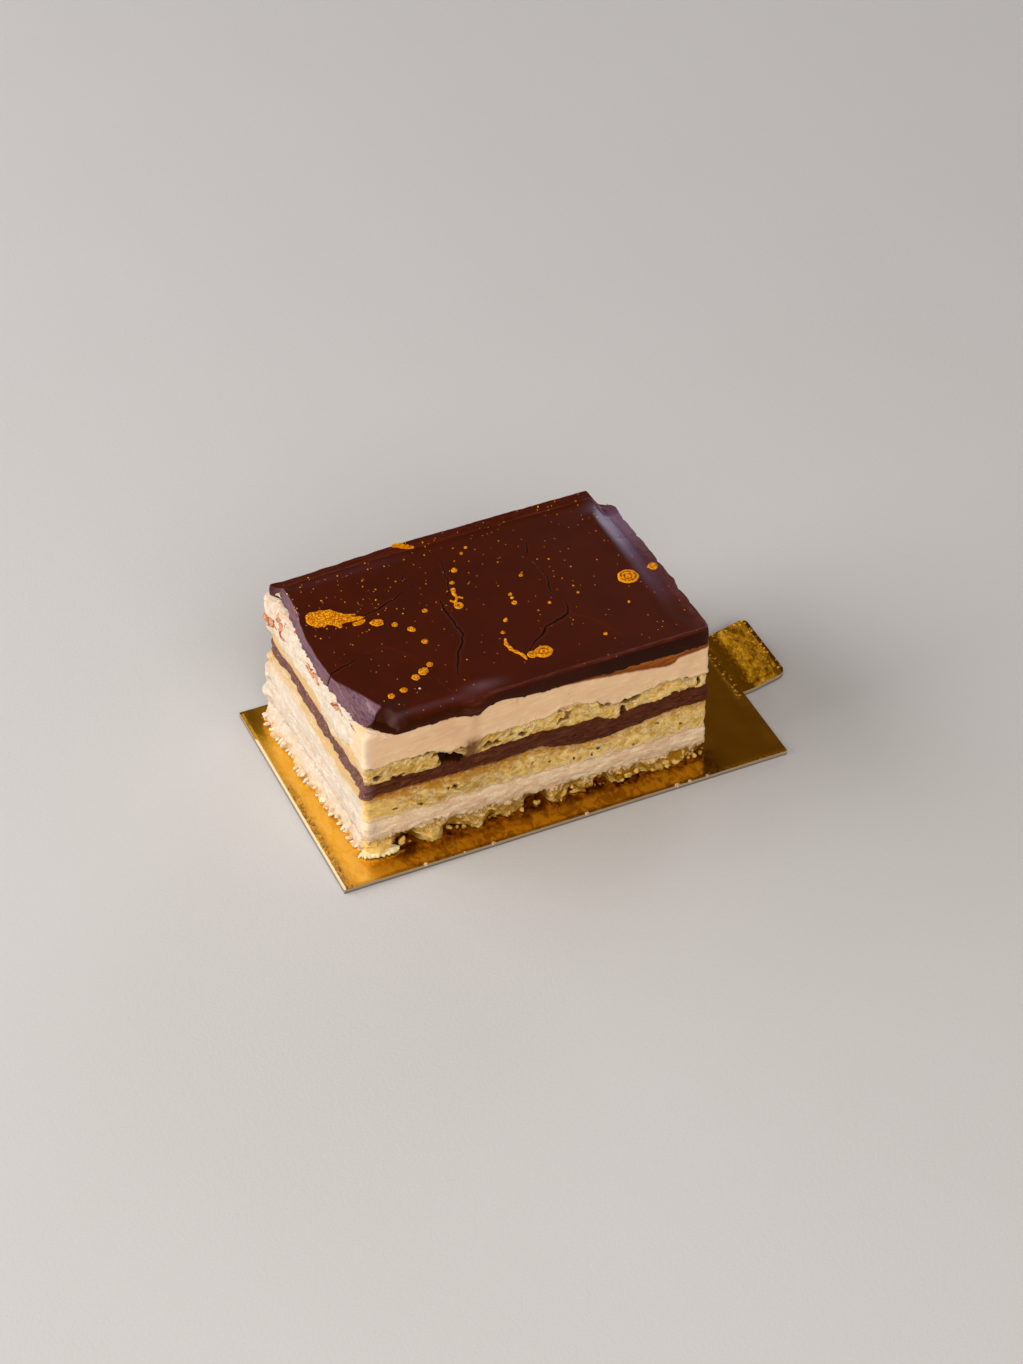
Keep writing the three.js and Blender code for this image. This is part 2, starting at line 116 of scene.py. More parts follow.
# Torn hollows on the front: (x, z, half width, half height, depth).
FRONT_HOLLOWS = (
    (-25.2, 21.8, 0.7, 0.3, 1.4), (-24.0, 21.0, 0.9, 0.5, 2.4), (-23.2, 20.0, 1.3, 0.95, 3.2),
    (-21.9, 19.7, 1.3, 0.9, 3.2), (-20.3, 19.1, 0.8, 0.6, 2.4), (-21.0, 22.0, 0.8, 0.3, 1.2),
    (-20.4, 21.9, 0.7, 0.25, 1.0),
    (-37.4, 20.5, 0.8, 0.6, 1.6), (-33.4, 19.5, 1.6, 0.3, 1.4), (-30.1, 23.0, 0.45, 0.35, 0.9),
    (-27.3, 22.9, 1.5, 0.35, 0.8), (-14.5, 20.4, 0.7, 0.55, 1.3), (-12.7, 20.3, 0.8, 0.35, 1.0),
    (-7.1, 20.6, 0.7, 0.45, 1.2), (-9.6, 21.0, 0.3, 0.3, 0.6), (0.7, 20.7, 0.7, 0.4, 1.6),
    (2.4, 22.0, 1.0, 0.9, 0.42), (2.0, 20.8, 0.9, 0.4, 0.9), (0.6, 23.4, 0.4, 0.4, 0.6),
    (10.2, 21.6, 1.1, 0.8, 0.35), (14.1, 18.6, 0.5, 0.9, 1.6), (14.6, 20.7, 0.9, 0.6, 1.1),
    (16.4, 21.0, 1.7, 0.5, 0.9), (18.9, 21.9, 0.35, 0.3, 0.7), (25.2, 19.1, 0.7, 0.3, 1.0),
    (28.3, 18.9, 0.4, 0.3, 0.8), (30.4, 20.3, 0.45, 0.8, 1.2), (27.3, 22.1, 0.4, 0.4, 0.4),
)
# The same in the middle sponge, small and dark.
MIDDLE_HOLLOWS = (
    (-21.4, 12.1, 0.25, 0.4, 0.8), (-22.9, 12.3, 0.25, 0.25, 0.5), (-28.6, 10.3, 0.6, 0.35, 0.5),
    (3.9, 9.9, 0.25, 0.35, 0.8), (9.0, 10.7, 0.3, 0.45, 0.8), (8.0, 9.5, 0.25, 0.35, 0.6),
    (16.5, 8.8, 0.3, 0.25, 0.6), (-1.6, 10.9, 0.3, 0.3, 0.5), (26.6, 10.4, 0.3, 0.3, 0.6),
    (-33.8, 11.2, 0.3, 0.25, 0.5), (-5.0, 12.0, 0.25, 0.4, 0.4), (21.6, 12.2, 0.3, 0.3, 0.5),
)
# Chocolate dragged over the torn left end: (y, z, half width, half height).
LEFT_SMEARS = (
    (-15.5, 30.2, 1.6, 0.4), (-8.6, 29.2, 2.0, 0.8), (-6.6, 28.4, 1.0, 0.6), (1.4, 29.0, 1.8, 0.7),
    (4.4, 28.4, 1.9, 1.0), (13.0, 30.8, 0.8, 0.5), (17.0, 30.4, 0.6, 0.4), (22.0, 26.6, 1.8, 0.9),
    (24.4, 25.4, 1.4, 1.2), (20.0, 29.8, 1.0, 1.3), (18.6, 28.2, 0.8, 1.2), (17.5, 26.6, 0.6, 1.1),
)

# Drops of edible gold on the glaze: (x, y, radius, length along its own heading, heading).
GOLD_DROPS = (
    (-25.5, 7.0, 1.15, 1.4, -15), (-22.6, 5.1, 0.62, 1.0, 0), (-20.2, 2.5, 0.75, 1.35, -60),
    (-19.3, -1.8, 0.65, 1.0, 0), (-15.7, 6.5, 0.55, 1.0, 0), (-21.1, -8.3, 0.65, 1.0, 0),
    (-23.0, -9.6, 1.0, 1.15, 20), (-25.0, -10.6, 0.8, 1.0, 0), (-28.5, -13.0, 0.7, 1.05, 0),
    (-31.3, -13.6, 0.7, 1.0, 0), (-5.6, 15.3, 0.65, 1.25, 60), (-7.5, 12.0, 0.48, 1.0, 0),
    (1.1, 1.6, 0.55, 1.0, 0), (1.3, 3.1, 0.35, 1.0, 0), (1.4, 4.2, 0.38, 1.0, 0),
    (-2.6, -2.4, 0.5, 1.4, 50), (-4.6, -5.6, 0.42, 1.0, 0), (5.7, 8.6, 0.42, 1.0, 0),
    (13.2, -14.0, 0.4, 1.0, 0), (7.3, -1.2, 0.33, 1.0, 0), (13.7, -0.7, 0.28, 1.0, 0),
    (21.5, -7.3, 0.3, 1.2, 60), (-2.2, 19.5, 0.36, 1.3, 50), (-0.7, 20.8, 0.34, 1.0, 0),
    (30.7, 0.9, 1.05, 1.15, 75),
)
# Drops that show the coils of the spoon: (x, y, radius, length, heading).
COILED_DROPS = (
    (-9.1, 5.2, 0.95, 1.05, 70), (0.2, -13.8, 1.75, 1.1, 10), (-2.1, -13.7, 1.0, 1.0, 0),
    (24.7, -0.3, 2.1, 1.02, 0),
)
# Trails of gold: a route across the glaze with the half width at each point, (x, y, half width).
GOLD_TRAILS = (
    ((-36.9, 12.6, 1.2), (-35.6, 12.7, 2.3), (-34.0, 12.4, 2.55), (-32.6, 11.7, 2.0),
     (-31.4, 10.8, 1.45), (-30.0, 10.2, 0.8), (-28.2, 9.7, 0.45), (-27.4, 9.5, 0.15)),
    ((-32.8, 10.6, 0.9), (-32.5, 9.4, 0.7), (-32.4, 8.6, 0.3)),
    ((-31.6, 12.6, 0.35), (-30.4, 11.6, 0.22), (-28.4, 10.9, 0.12)),
    ((-29.6, 8.3, 0.5), (-28.4, 8.3, 0.6), (-27.5, 8.7, 0.3)),
    ((-8.1, 10.1, 0.5), (-8.6, 8.9, 0.35), (-8.4, 7.6, 0.2), (-9.2, 6.4, 0.3)),
    ((-8.0, 7.4, 0.25), (-7.5, 6.9, 0.12)),
    ((-10.0, 7.2, 0.15), (-9.3, 6.2, 0.25)),
    ((-5.0, -7.6, 0.42), (-5.3, -8.3, 0.2), (-5.5, -9.0, 0.47), (-5.3, -9.8, 0.3), (-5.2, -10.5, 0.5),
     (-5.0, -11.1, 0.2), (-4.6, -11.8, 0.45), (-4.3, -12.3, 0.2), (-3.8, -13.2, 0.4), (-3.7, -14.6, 0.15)),
    ((-14.0, 26.4, 0.3), (-12.8, 26.2, 0.5), (-11.6, 25.5, 0.4), (-10.2, 25.0, 0.3)),
)

# Cracks in the glaze: a route, with the half width in the middle of it.
CRACKS = (
    (0.20, ((-40.4, -4.2), (-39.5, -2.8), (-38.0, -2.5), (-35.6, -2.0), (-33.0, -1.0))),
    (0.17, ((-28.0, 9.6), (-24.0, 10.6), (-21.8, 11.4), (-20.0, 12.2), (-17.0, 13.2))),
    (0.22, ((-11.8, 8.2), (-12.2, 5.8), (-11.9, 2.5), (-12.0, 0.0), (-11.9, -3.3), (-13.2, -5.6),
            (-14.6, -7.0), (-15.6, -9.3), (-16.6, -11.0), (-17.3, -13.5))),
    (0.13, ((-6.8, 18.7), (-7.6, 15.6), (-8.0, 13.4), (-8.5, 11.5), (-10.0, 8.8))),
    (0.12, ((-15.8, 20.5), (-15.7, 17.6), (-15.4, 15.6), (-14.3, 12.7))),
    (0.14, ((-14.1, 11.6), (-14.7, 10.3))),
    (0.15, ((11.0, 17.2), (10.2, 15.6), (9.6, 14.2))),
    (0.13, ((9.8, 12.5), (10.0, 8.5), (10.2, 5.5), (9.5, 3.8), (8.9, 2.2), (9.3, 0.6))),
    (0.24, ((10.4, -2.2), (10.0, -3.8), (9.2, -5.5), (6.6, -6.7), (4.0, -7.2), (2.4, -8.8),
            (-0.5, -10.8), (-1.6, -12.2))),
    (0.07, ((-21.5, -12.5), (-20.7, -16.5), (-19.6, -20.4))),
    (0.06, ((10.0, -6.0), (13.0, -9.0), (14.2, -11.5), (16.0, -16.0))),
    (0.06, ((-31.0, -0.4), (-27.5, 0.2), (-25.2, -1.6), (-23.4, -4.6), (-23.2, -6.8))),
)

# How far the glaze's cut left end is set back, and how far it slopes in: (y, distance).
LEFT_SET_BACK = (
    (-6, 0.0), (-2, -0.3), (2, -0.45), (8, -0.4), (12, -0.1), (15, 0.4), (18, 0.7), (22, 1.3), (26.2, 1.6),
)
LEFT_SLOPE = ((-8, 0.9), (-4, 0.8), (0, 0.66), (8, 0.66), (14, 1.1), (18, 1.25), (22.5, 0.8))
RIGHT_DROP = ((-20.8, 0.1), (-10, 0.2), (5, 0.5), (12, 0.85), (19.5, 1.2))  # (y, fall of the right end)
BACK_CHIP = ((28.8, 26.2), (29.3, 22.7), (30.5, 22.1), (32.4, 21.8))  # (x, the glaze's back edge)
CARAMEL_DEPTH = (
    (0, 0.0), (3, 0.45), (9, 1.0), (14, 1.5), (19, 2.3), (23, 2.9), (25, 2.6), (25.6, 1.6),
    (28, 1.3), (30, 1.3), (32.4, 0.9),
)
# The knife's slanting cut at the near left corner, and the ridge where it meets the front.
FACET_START = (-38.25, -8.0)
FACET_NORMAL = (-0.863, -0.506)
RIDGE_START = (-34.0, -15.25)
RIDGE_NORMAL = (0.415, -0.91)
# Chips in the glaze's right edge: (y, half width, depth).
RIGHT_NICKS = (
    (11.3, 0.35, 0.45), (-7.3, 0.7, 0.35), (-4.2, 0.8, -0.25), (1.9, 0.4, 0.25), (17.5, 0.9, 0.3),
    (-12.2, 0.5, 0.2),
)
FAINT_CRACK = 0.08  # a crack narrower than this is only a painted highlight line
GLAZE_GRID = (250, 180)  # squares along X and Y
GLAZE_ROWS = 12  # rows of squares down the glaze's side
CARD_GRID = (230, 120)

# ---------------------------------------------------------------- numbers over many points


def smooth(start, end, value):
    """0 up to start, 1 from end on, with a soft turn at both."""
    share = unit((value - start) / (end - start))
    return share * share * (3.0 - 2.0 * share)


def bell(value, centre, half_width):
    return np.exp(-(((value - centre) / half_width) ** 2))


def mix(low, high, share):
    return low + (high - low) * share


def unit(value):
    return np.clip(value, 0.0, 1.0)


HASH_STEPS = np.array((73856093, 19349663, 83492791), dtype=np.int64)
HASH_SEED_STEP = 40503
HASH_STIRS = (2246822519, 3266489917)
HASH_MASK = 0xFFFFFFFF


def hashed(cells, seed):
    """A repeatable number from 0 to 1 for each row of three whole numbers."""
    mixed = (cells @ HASH_STEPS + seed * HASH_SEED_STEP) & HASH_MASK
    for shift, stir in zip((16, 13), HASH_STIRS):
        mixed = ((mixed ^ (mixed >> shift)) * stir) & HASH_MASK
    return (mixed ^ (mixed >> 16)) / HASH_MASK


def ripple(points, width, seed):
    """Smooth noise from -1 to 1, whose lumps are about width wide."""
    scaled = points / np.asarray(width, dtype=float)
    corner = np.floor(scaled).astype(np.int64)
    part = scaled - corner
    part = part * part * (3.0 - 2.0 * part)
    total = np.zeros(len(points))
    for offset in itertools.product((0, 1), repeat=3):
        weight = np.prod(np.where(offset, part, 1.0 - part), axis=1)
        total += weight * hashed(corner + offset, seed)
    return 2.0 * total - 1.0


def curls(points, width, seed, lean):
    """Ripples drawn out into short curls that lean that many degrees, from -1 to 1."""
    sway = np.stack([ripple(points, 2.4 * width, seed + k) for k in range(3)], axis=1)
    bent = points + 1.1 * width * sway
    run = bent[:, 0] + bent[:, 1]
    lean = math.radians(lean)
    length = run * math.cos(lean) + bent[:, 2] * math.sin(lean)
    height = bent[:, 2] * math.cos(lean) - run * math.sin(lean)
    turned = np.stack((length, bent[:, 0] - bent[:, 1], height), axis=1)
    return ripple(turned, (2.3 * width, 2.3 * width, 0.62 * width), seed + 5)


def rough(points, width, seed, octaves=3):
    """Ripples on ripples, each half as wide and half as high as the one before."""
    width = np.asarray(width, dtype=float)
    return sum(ripple(points, width / 2**k, seed + 7 * k) / 2**k for k in range(octaves))


def pores(points, spacing, seed, share, small, large):
    """How deep in a round pore each point lies, 0 to 1: one pore in that share of the cells."""
    cells = np.floor(points / spacing).astype(np.int64)
    depth = np.zeros(len(points))
    for offset in itertools.product((-1, 0, 1), repeat=3):
        cell = cells + offset
        jitter = np.stack([hashed(cell, seed + k) for k in range(3)], axis=1)
        radius = small + (large - small) * hashed(cell, seed + 3) ** 2
        away = np.linalg.norm(points - (cell + jitter) * spacing, axis=1) / radius
        inside = unit(1.0 - away * away) * (hashed(cell, seed + 4) < share)
        depth = np.maximum(depth, inside)
    return depth


def along(route, value):
    """The height of a polyline, given as (place, height), at each value."""
    places, heights = zip(*route)
    return np.interp(value, places, heights)


def distance_to(route, x, y):
    """Each point's distance to a route across the glaze, and its share of the way along it."""
    best = np.full(x.shape, 1e9)
    share = np.zeros(x.shape)
    last = len(route) - 1
    for k, (start, end) in enumerate(zip(route, route[1:])):
        dx, dy = end[0] - start[0], end[1] - start[1]
        t = unit(((x - start[0]) * dx + (y - start[1]) * dy) / (dx * dx + dy * dy))
        away = np.hypot(x - start[0] - t * dx, y - start[1] - t * dy)
        nearer = away < best
        best = np.where(nearer, away, best)
        share = np.where(nearer, (k + t) / last, share)
    return best, share


def sine_wave(u, v, seed):
    """The CAD layers' own ripple, from four sines with no common period."""
    p = seed * 1.618
    return (
        0.4 * np.sin(0.61 * u + 0.33 * v + p)
        + 0.3 * np.sin(1.27 * u - 0.71 * v + 2.3 * p)
        + 0.2 * np.sin(2.13 * u + 1.19 * v + 3.7 * p)
        + 0.1 * np.sin(3.31 * u - 1.93 * v + 5.1 * p)
    )


# ---------------------------------------------------------------- meshes


def new_piece(name, bm, material, slot, nodes, marks=None):
    """Turns a bmesh in millimetres into a finished piece that stands for CAD nodes.

    marks are numbers at each point, for the material to read.
    """
    for key, values in (marks or {}).items():
        layer = bm.verts.layers.float.new(key)
        for vert, value in zip(bm.verts, values):
            vert[layer] = value
    bmesh.ops.scale(bm, vec=(MM, MM, MM), verts=bm.verts[:])
    mesh = bpy.data.meshes.new(name)
    bm.to_mesh(mesh)
    bm.free()
    mesh.polygons.foreach_set("use_smooth", np.ones(len(mesh.polygons), dtype=bool))
    mesh.materials.append(material)
    piece = bpy.data.objects.new(name, mesh)
    bpy.context.scene.collection.objects.link(piece)
    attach(piece, "root")
    if nodes:
        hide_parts(*nodes)
    return piece


def place_points(bm, x, y, z):
    for vert, position in zip(bm.verts, np.column_stack((x, y, z))):
        vert.co = position


def points_of(bm):
    return np.array([vert.co for vert in bm.verts], dtype=float)


def level_points(x, y):
    return np.column_stack((x, y, np.zeros_like(x)))


def sorted_out(geom):
    """The edges and the points among what an operator made."""
    edges = [item for item in geom if isinstance(item, bmesh.types.BMEdge)]
    return edges, [item for item in geom if isinstance(item, bmesh.types.BMVert)]


def grow_rows(bm, edges, rows, step):
    """Extrudes a ring of edges row by row, and gives the last ring's edges."""
    for _ in range(rows):
        edges, verts = sorted_out(bmesh.ops.extrude_edge_only(bm, edges=edges)["geom"])
        bmesh.ops.translate(bm, vec=step, verts=verts)
    return edges


def drum(segments, rows):
    """A closed drum of radius 1, one high for each row, made from a circle."""
    bm = bmesh.new()
    bmesh.ops.create_circle(bm, cap_ends=False, radius=1.0, segments=segments)
    first = bm.edges[:]
    last = grow_rows(bm, first, rows, (0.0, 0.0, 1.0))
    bmesh.ops.contextual_create(bm, geom=first)
    bmesh.ops.contextual_create(bm, geom=last)
    bmesh.ops.recalc_face_normals(bm, faces=bm.faces[:])
    return bm


def outline(radii):
    """The slice's outline as knots of (x, y, normal x, normal y), anticlockwise."""
    corners = (
        (SLICE_LEFT, SLICE_FRONT, 1, 1, math.pi),
        (SLICE_RIGHT, SLICE_FRONT, -1, 1, 1.5 * math.pi),
        (SLICE_RIGHT, SLICE_BACK, -1, -1, 0.0),
        (SLICE_LEFT, SLICE_BACK, 1, -1, 0.5 * math.pi),
    )
    arc_steps = 12
    knots = []
    for (x, y, in_x, in_y, start), radius in zip(corners, radii):
        for step in range(arc_steps + 1):
            angle = start + 0.5 * math.pi * step / arc_steps
            cosine, sine = math.cos(angle), math.sin(angle)
            knots.append((x + radius * (in_x + cosine), y + radius * (in_y + sine), cosine, sine))
    knots.append(knots[0])
    return np.array(knots)


class Wall:
    """The points of a layer's side: place, outward direction, run round it and share of height."""

    def __init__(self, turn, share, radii):
        knots = outline(radii)
        run = np.concatenate(([0.0], np.cumsum(np.hypot(*np.diff(knots[:, :2], axis=0).T))))
        self.run = turn * run[-1]
        self.x, self.y, self.nx, self.ny = (np.interp(self.run, run, knots[:, k]) for k in range(4))
        self.share = share
        self.left = smooth(SLICE_LEFT + 2.5, SLICE_LEFT, self.x)
        self.front = smooth(SLICE_FRONT + 2.0, SLICE_FRONT + 0.4, self.y)
        self.torn = self.left * smooth(-20.3, -18.0, self.y)
        self.skew = LEFT_SKEW * self.left * unit((self.y - SLICE_FRONT) / SLICE_DEPTH)
        self.marks = {}

    def stand(self, low, high):
        """Sets the height of each point between the layer's two boundaries."""
        self.z = mix(low, high, self.share)
        self.points = np.column_stack((self.x, self.y, self.z))

    def ripple(self, width, seed):
        return ripple(self.points, width, seed)

    def rough(self, width, seed, octaves=3):
        return rough(self.points, width, seed, octaves)

    def mark(self, **marks):
        """Keeps numbers at each point, for the material to read."""
        self.marks.update(marks)


def moved_in(x, y, inset):
    """Points moved towards the middle of the slice, which keeps the corners' shape."""
    return (
        MIDDLE_X + (x - MIDDLE_X) * (1 - 2 * inset / SLICE_LENGTH),
        MIDDLE_Y + (y - MIDDLE_Y) * (1 - 2 * inset / SLICE_DEPTH),
    )


def boundary(index):
    """The height of a boundary between two layers, as a function of x and y."""
    left, right, uneven, jag, front, side = BOUNDARIES[index]

    def height(x, y):
        near_front = smooth(SLICE_FRONT + 10, SLICE_FRONT + 2, y)
        near_left = smooth(SLICE_LEFT + 10, SLICE_LEFT + 2, x)
        z = mix(left, right, (x - SLICE_LEFT) / SLICE_LENGTH)
        z = z + uneven * sine_wave(0.45 * x, 0.45 * y, index + 1)
        for place, half_width, rise in front:
            z = z + rise * near_front * bell(x, place, half_width)
        for place, half_width, rise in side:
            z = z + rise * near_left * bell(y, place, half_width)
        flat = level_points(x, y)
        return z + jag * (rough(flat, 1.7, 90 + index) + 0.5 * ripple(flat, 0.45, 95 + index))

    return height


def card_top(x, y):
    return np.full(np.broadcast(x, y).shape, CARD_THICKNESS + 0.02)


def largest_spot(u, v, spots):
    """The highest of some flat-topped spots at each point: (u, v, half width, half height, height)."""
    height = np.zeros(len(u))
    for centre_u, centre_v, half_width, half_height, peak in spots:
        away = ((u - centre_u) / half_width) ** 2 + ((v - centre_v) / half_height) ** 2
        height = np.maximum(height, peak * np.exp(-(away**2)))
    return height


def hollows(wall, places, seed):
    """How far the front is torn in at each point by a list of hollows, with ragged edges."""
    x = wall.x + 0.5 * wall.ripple(1.0, seed) + 0.2 * wall.ripple(0.45, seed + 2)
    z = wall.z + 0.35 * wall.ripple(0.8, seed + 1) + 0.12 * wall.ripple(0.4, seed + 3)
    return largest_spot(x, z, places) * wall.front


def crumb(wall, relief, seed, share):
    """The open crumb of a sponge: lumps, finer lumps and round pores. Marks how hollow it is."""
    points = wall.points
    holes = pores(points, 1.0, seed, share, 0.1, 0.36)
    small = pores(points, 0.55, seed + 9, share, 0.07, 0.17)
    lumps = wall.rough(1.5, seed + 20, 2)
    turn = smooth(-0.35, 0.35, wall.ripple(3.0, seed + 50))
    large = mix(curls(points, 0.75, seed + 30, 38), curls(points, 0.75, seed + 35, -22), turn)
    fine = mix(curls(points, 0.38, seed + 40, 30), curls(points, 0.38, seed + 45, -35), turn)
    wall.mark(
        hollow=unit(holes + 0.7 * small) * (1 - 0.8 * wall.torn),
        crest=unit(0.5 + 0.5 * large + 0.4 * fine + 0.15 * lumps),
    )
    relief = relief * (1 - 0.75 * wall.torn)
    return relief * (0.45 * lumps + 0.5 * large + 0.35 * fine - 1.2 * holes - 0.5 * small)


# ---------------------------------------------------------------- materials


class Value:
    """A shader socket that Python's own arithmetic works on."""

    def __init__(self, finish, socket):
        self.finish = finish
        self.socket = socket

    def math(self, operation, first, second):
        return self.finish.node("ShaderNodeMath", {"operation": operation}, {0: first, 1: second})

    def __add__(self, other):
        return self.math("ADD", self, other)

    def __sub__(self, other):
        return self.math("SUBTRACT", self, other)

    def __rsub__(self, other):
        return self.math("SUBTRACT", other, self)

    def __mul__(self, other):
        return self.math("MULTIPLY", self, other)

    __radd__ = __add__
    __rmul__ = __mul__

    def clamped(self):
        return self.finish.node("ShaderNodeClamp", None, {0: self})


class Finish:
    """A material in the making: its methods add nodes, and coat lays colour over colour.

    Colours go by their names in the cake's settings.
    """

    def __init__(self, name, colours, base, constants):
        self.colours = colours
        self.material = bpy.data.materials.new(name)
        self.material.use_nodes = True
        self.tree = self.material.node_tree
        self.surface = self.tree.nodes["Principled BSDF"]
        self.feed(self.surface, constants)
        self.place = self.node("ShaderNodeTexCoord", output="Object")
        self.base = base

    def feed(self, node, inputs):
        """Links or sets each socket."""
        for key, value in inputs.items():
            socket = node.inputs[key]
            if isinstance(value, Value):
                self.tree.links.new(value.socket, socket)
                continue
            if isinstance(value, str):
                value = getattr(self.colours, value)
            socket.default_value = (*value, 1.0) if socket.type == "RGBA" else value

    def node(self, kind, settings=None, inputs=None, output=0):
        """Adds one node: its settings first, then the values or links of its sockets."""
        node = self.tree.nodes.new(kind)
        for key, value in (settings or {}).items():
            setattr(node, key, value)
        self.feed(node, inputs or {})
        return Value(self, node.outputs[output])

    def mark(self, name):
        return self.node("ShaderNodeAttribute", {"attribute_name": name}, output="Fac")

    def stretched(self, widths, lean=0.0):
        """The place, scaled so that a noise of scale 1 has lumps of these widths, leaning over."""
        inputs = {"Vector": self.place, "Scale": tuple(1 / (MM * width) for width in widths)}
        if lean:
            turn = (math.radians(-lean), math.radians(lean), 0.0)
            turned = {"Vector": self.place, "Rotation": turn}
            inputs["Vector"] = self.node("ShaderNodeMapping", None, turned)
        return self.node("ShaderNodeMapping", None, inputs)

    def noise(self, width, detail=2.0, roughness=0.5, distortion=0.0, lean=0.0):
        """Noise from 0 to 1, with lumps of one width or of a width along each axis."""
        widths = width if isinstance(width, tuple) else (width,) * 3
        inputs = {
            "Vector": self.stretched(widths, lean),
            "Scale": 1.0,
            "Detail": detail,
            "Roughness": roughness,
            "Distortion": distortion,
        }
        return self.node("ShaderNodeTexNoise", None, inputs)

    def cells(self, width):
        """The distance to the nearest of many scattered points, about width apart."""
        inputs = {"Vector": self.stretched((width,) * 3), "Scale": 1.0}
        return self.node("ShaderNodeTexVoronoi", None, inputs)

    def step(self, value, low, high):
        """0 where value is at low and 1 at high, with a soft turn at both."""
        inputs = {"Value": value, "From Min": low, "From Max": high}
        if low > high:
            inputs.update({"From Min": high, "From Max": low, "To Min": 1.0, "To Max": 0.0})
        return self.node("ShaderNodeMapRange", {"interpolation_type": "SMOOTHSTEP"}, inputs)

    def line(self, noise, width):
        """Thin curling lines along the places where a noise crosses its middle."""
        away = self.node("ShaderNodeMath", {"operation": "ABSOLUTE"}, {0: noise - 0.5})
        return self.step(away, width, width * 0.3)

    def fibres(self):
        """The drawn-out strands of a torn side, which dip towards the front, paler with a painted
        highlight along them.
        """
        drawn = self.line(self.noise((1.0, 4.0, 0.8), 3.0, 0.55, 1.2), 0.07)
        return drawn * self.step(self.noise(2.0, 2.0), 0.4, 0.55)

    def mix(self, first, second, share):
        """Two colours mixed, with the share of the second held between 0 and 1 by the node."""
        settings = {"data_type": "RGBA", "blend_type": "MIX"}
        return self.node("ShaderNodeMix", settings, {0: share, 6: first, 7: second}, 2)

    def coat(self, colour, share):
        self.base = self.mix(self.base, colour, share)

    def done(self, roughness, relief=None, depth=0.0, others=None):
        """Feeds the surface. A relief of 0 to 1 stands for that depth in millimetres."""
        inputs = {"Base Color": self.base, "Roughness": roughness, **(others or {})}
        if relief is not None:
            bump = {"Height": relief, "Distance": depth * MM, "Strength": 1.0}
            inputs["Normal"] = self.node("ShaderNodeBump", None, bump)
        self.feed(self.surface, inputs)
        return self.material


def soft_inside(specular, weight, scale, radius):
    """The constants of a surface that light goes a little way into."""
    return {
        "Specular IOR Level": specular,
        "Subsurface Weight": weight,
        "Subsurface Scale": scale,
        "Subsurface Radius": radius,
    }


CRUMB_SHADER = soft_inside(0.25, 0.15, 0.0012, (1.0, 0.6, 0.3))
CREAM_SHADER = soft_inside(0.2, 0.4, 0.0015, (1.0, 0.65, 0.4))


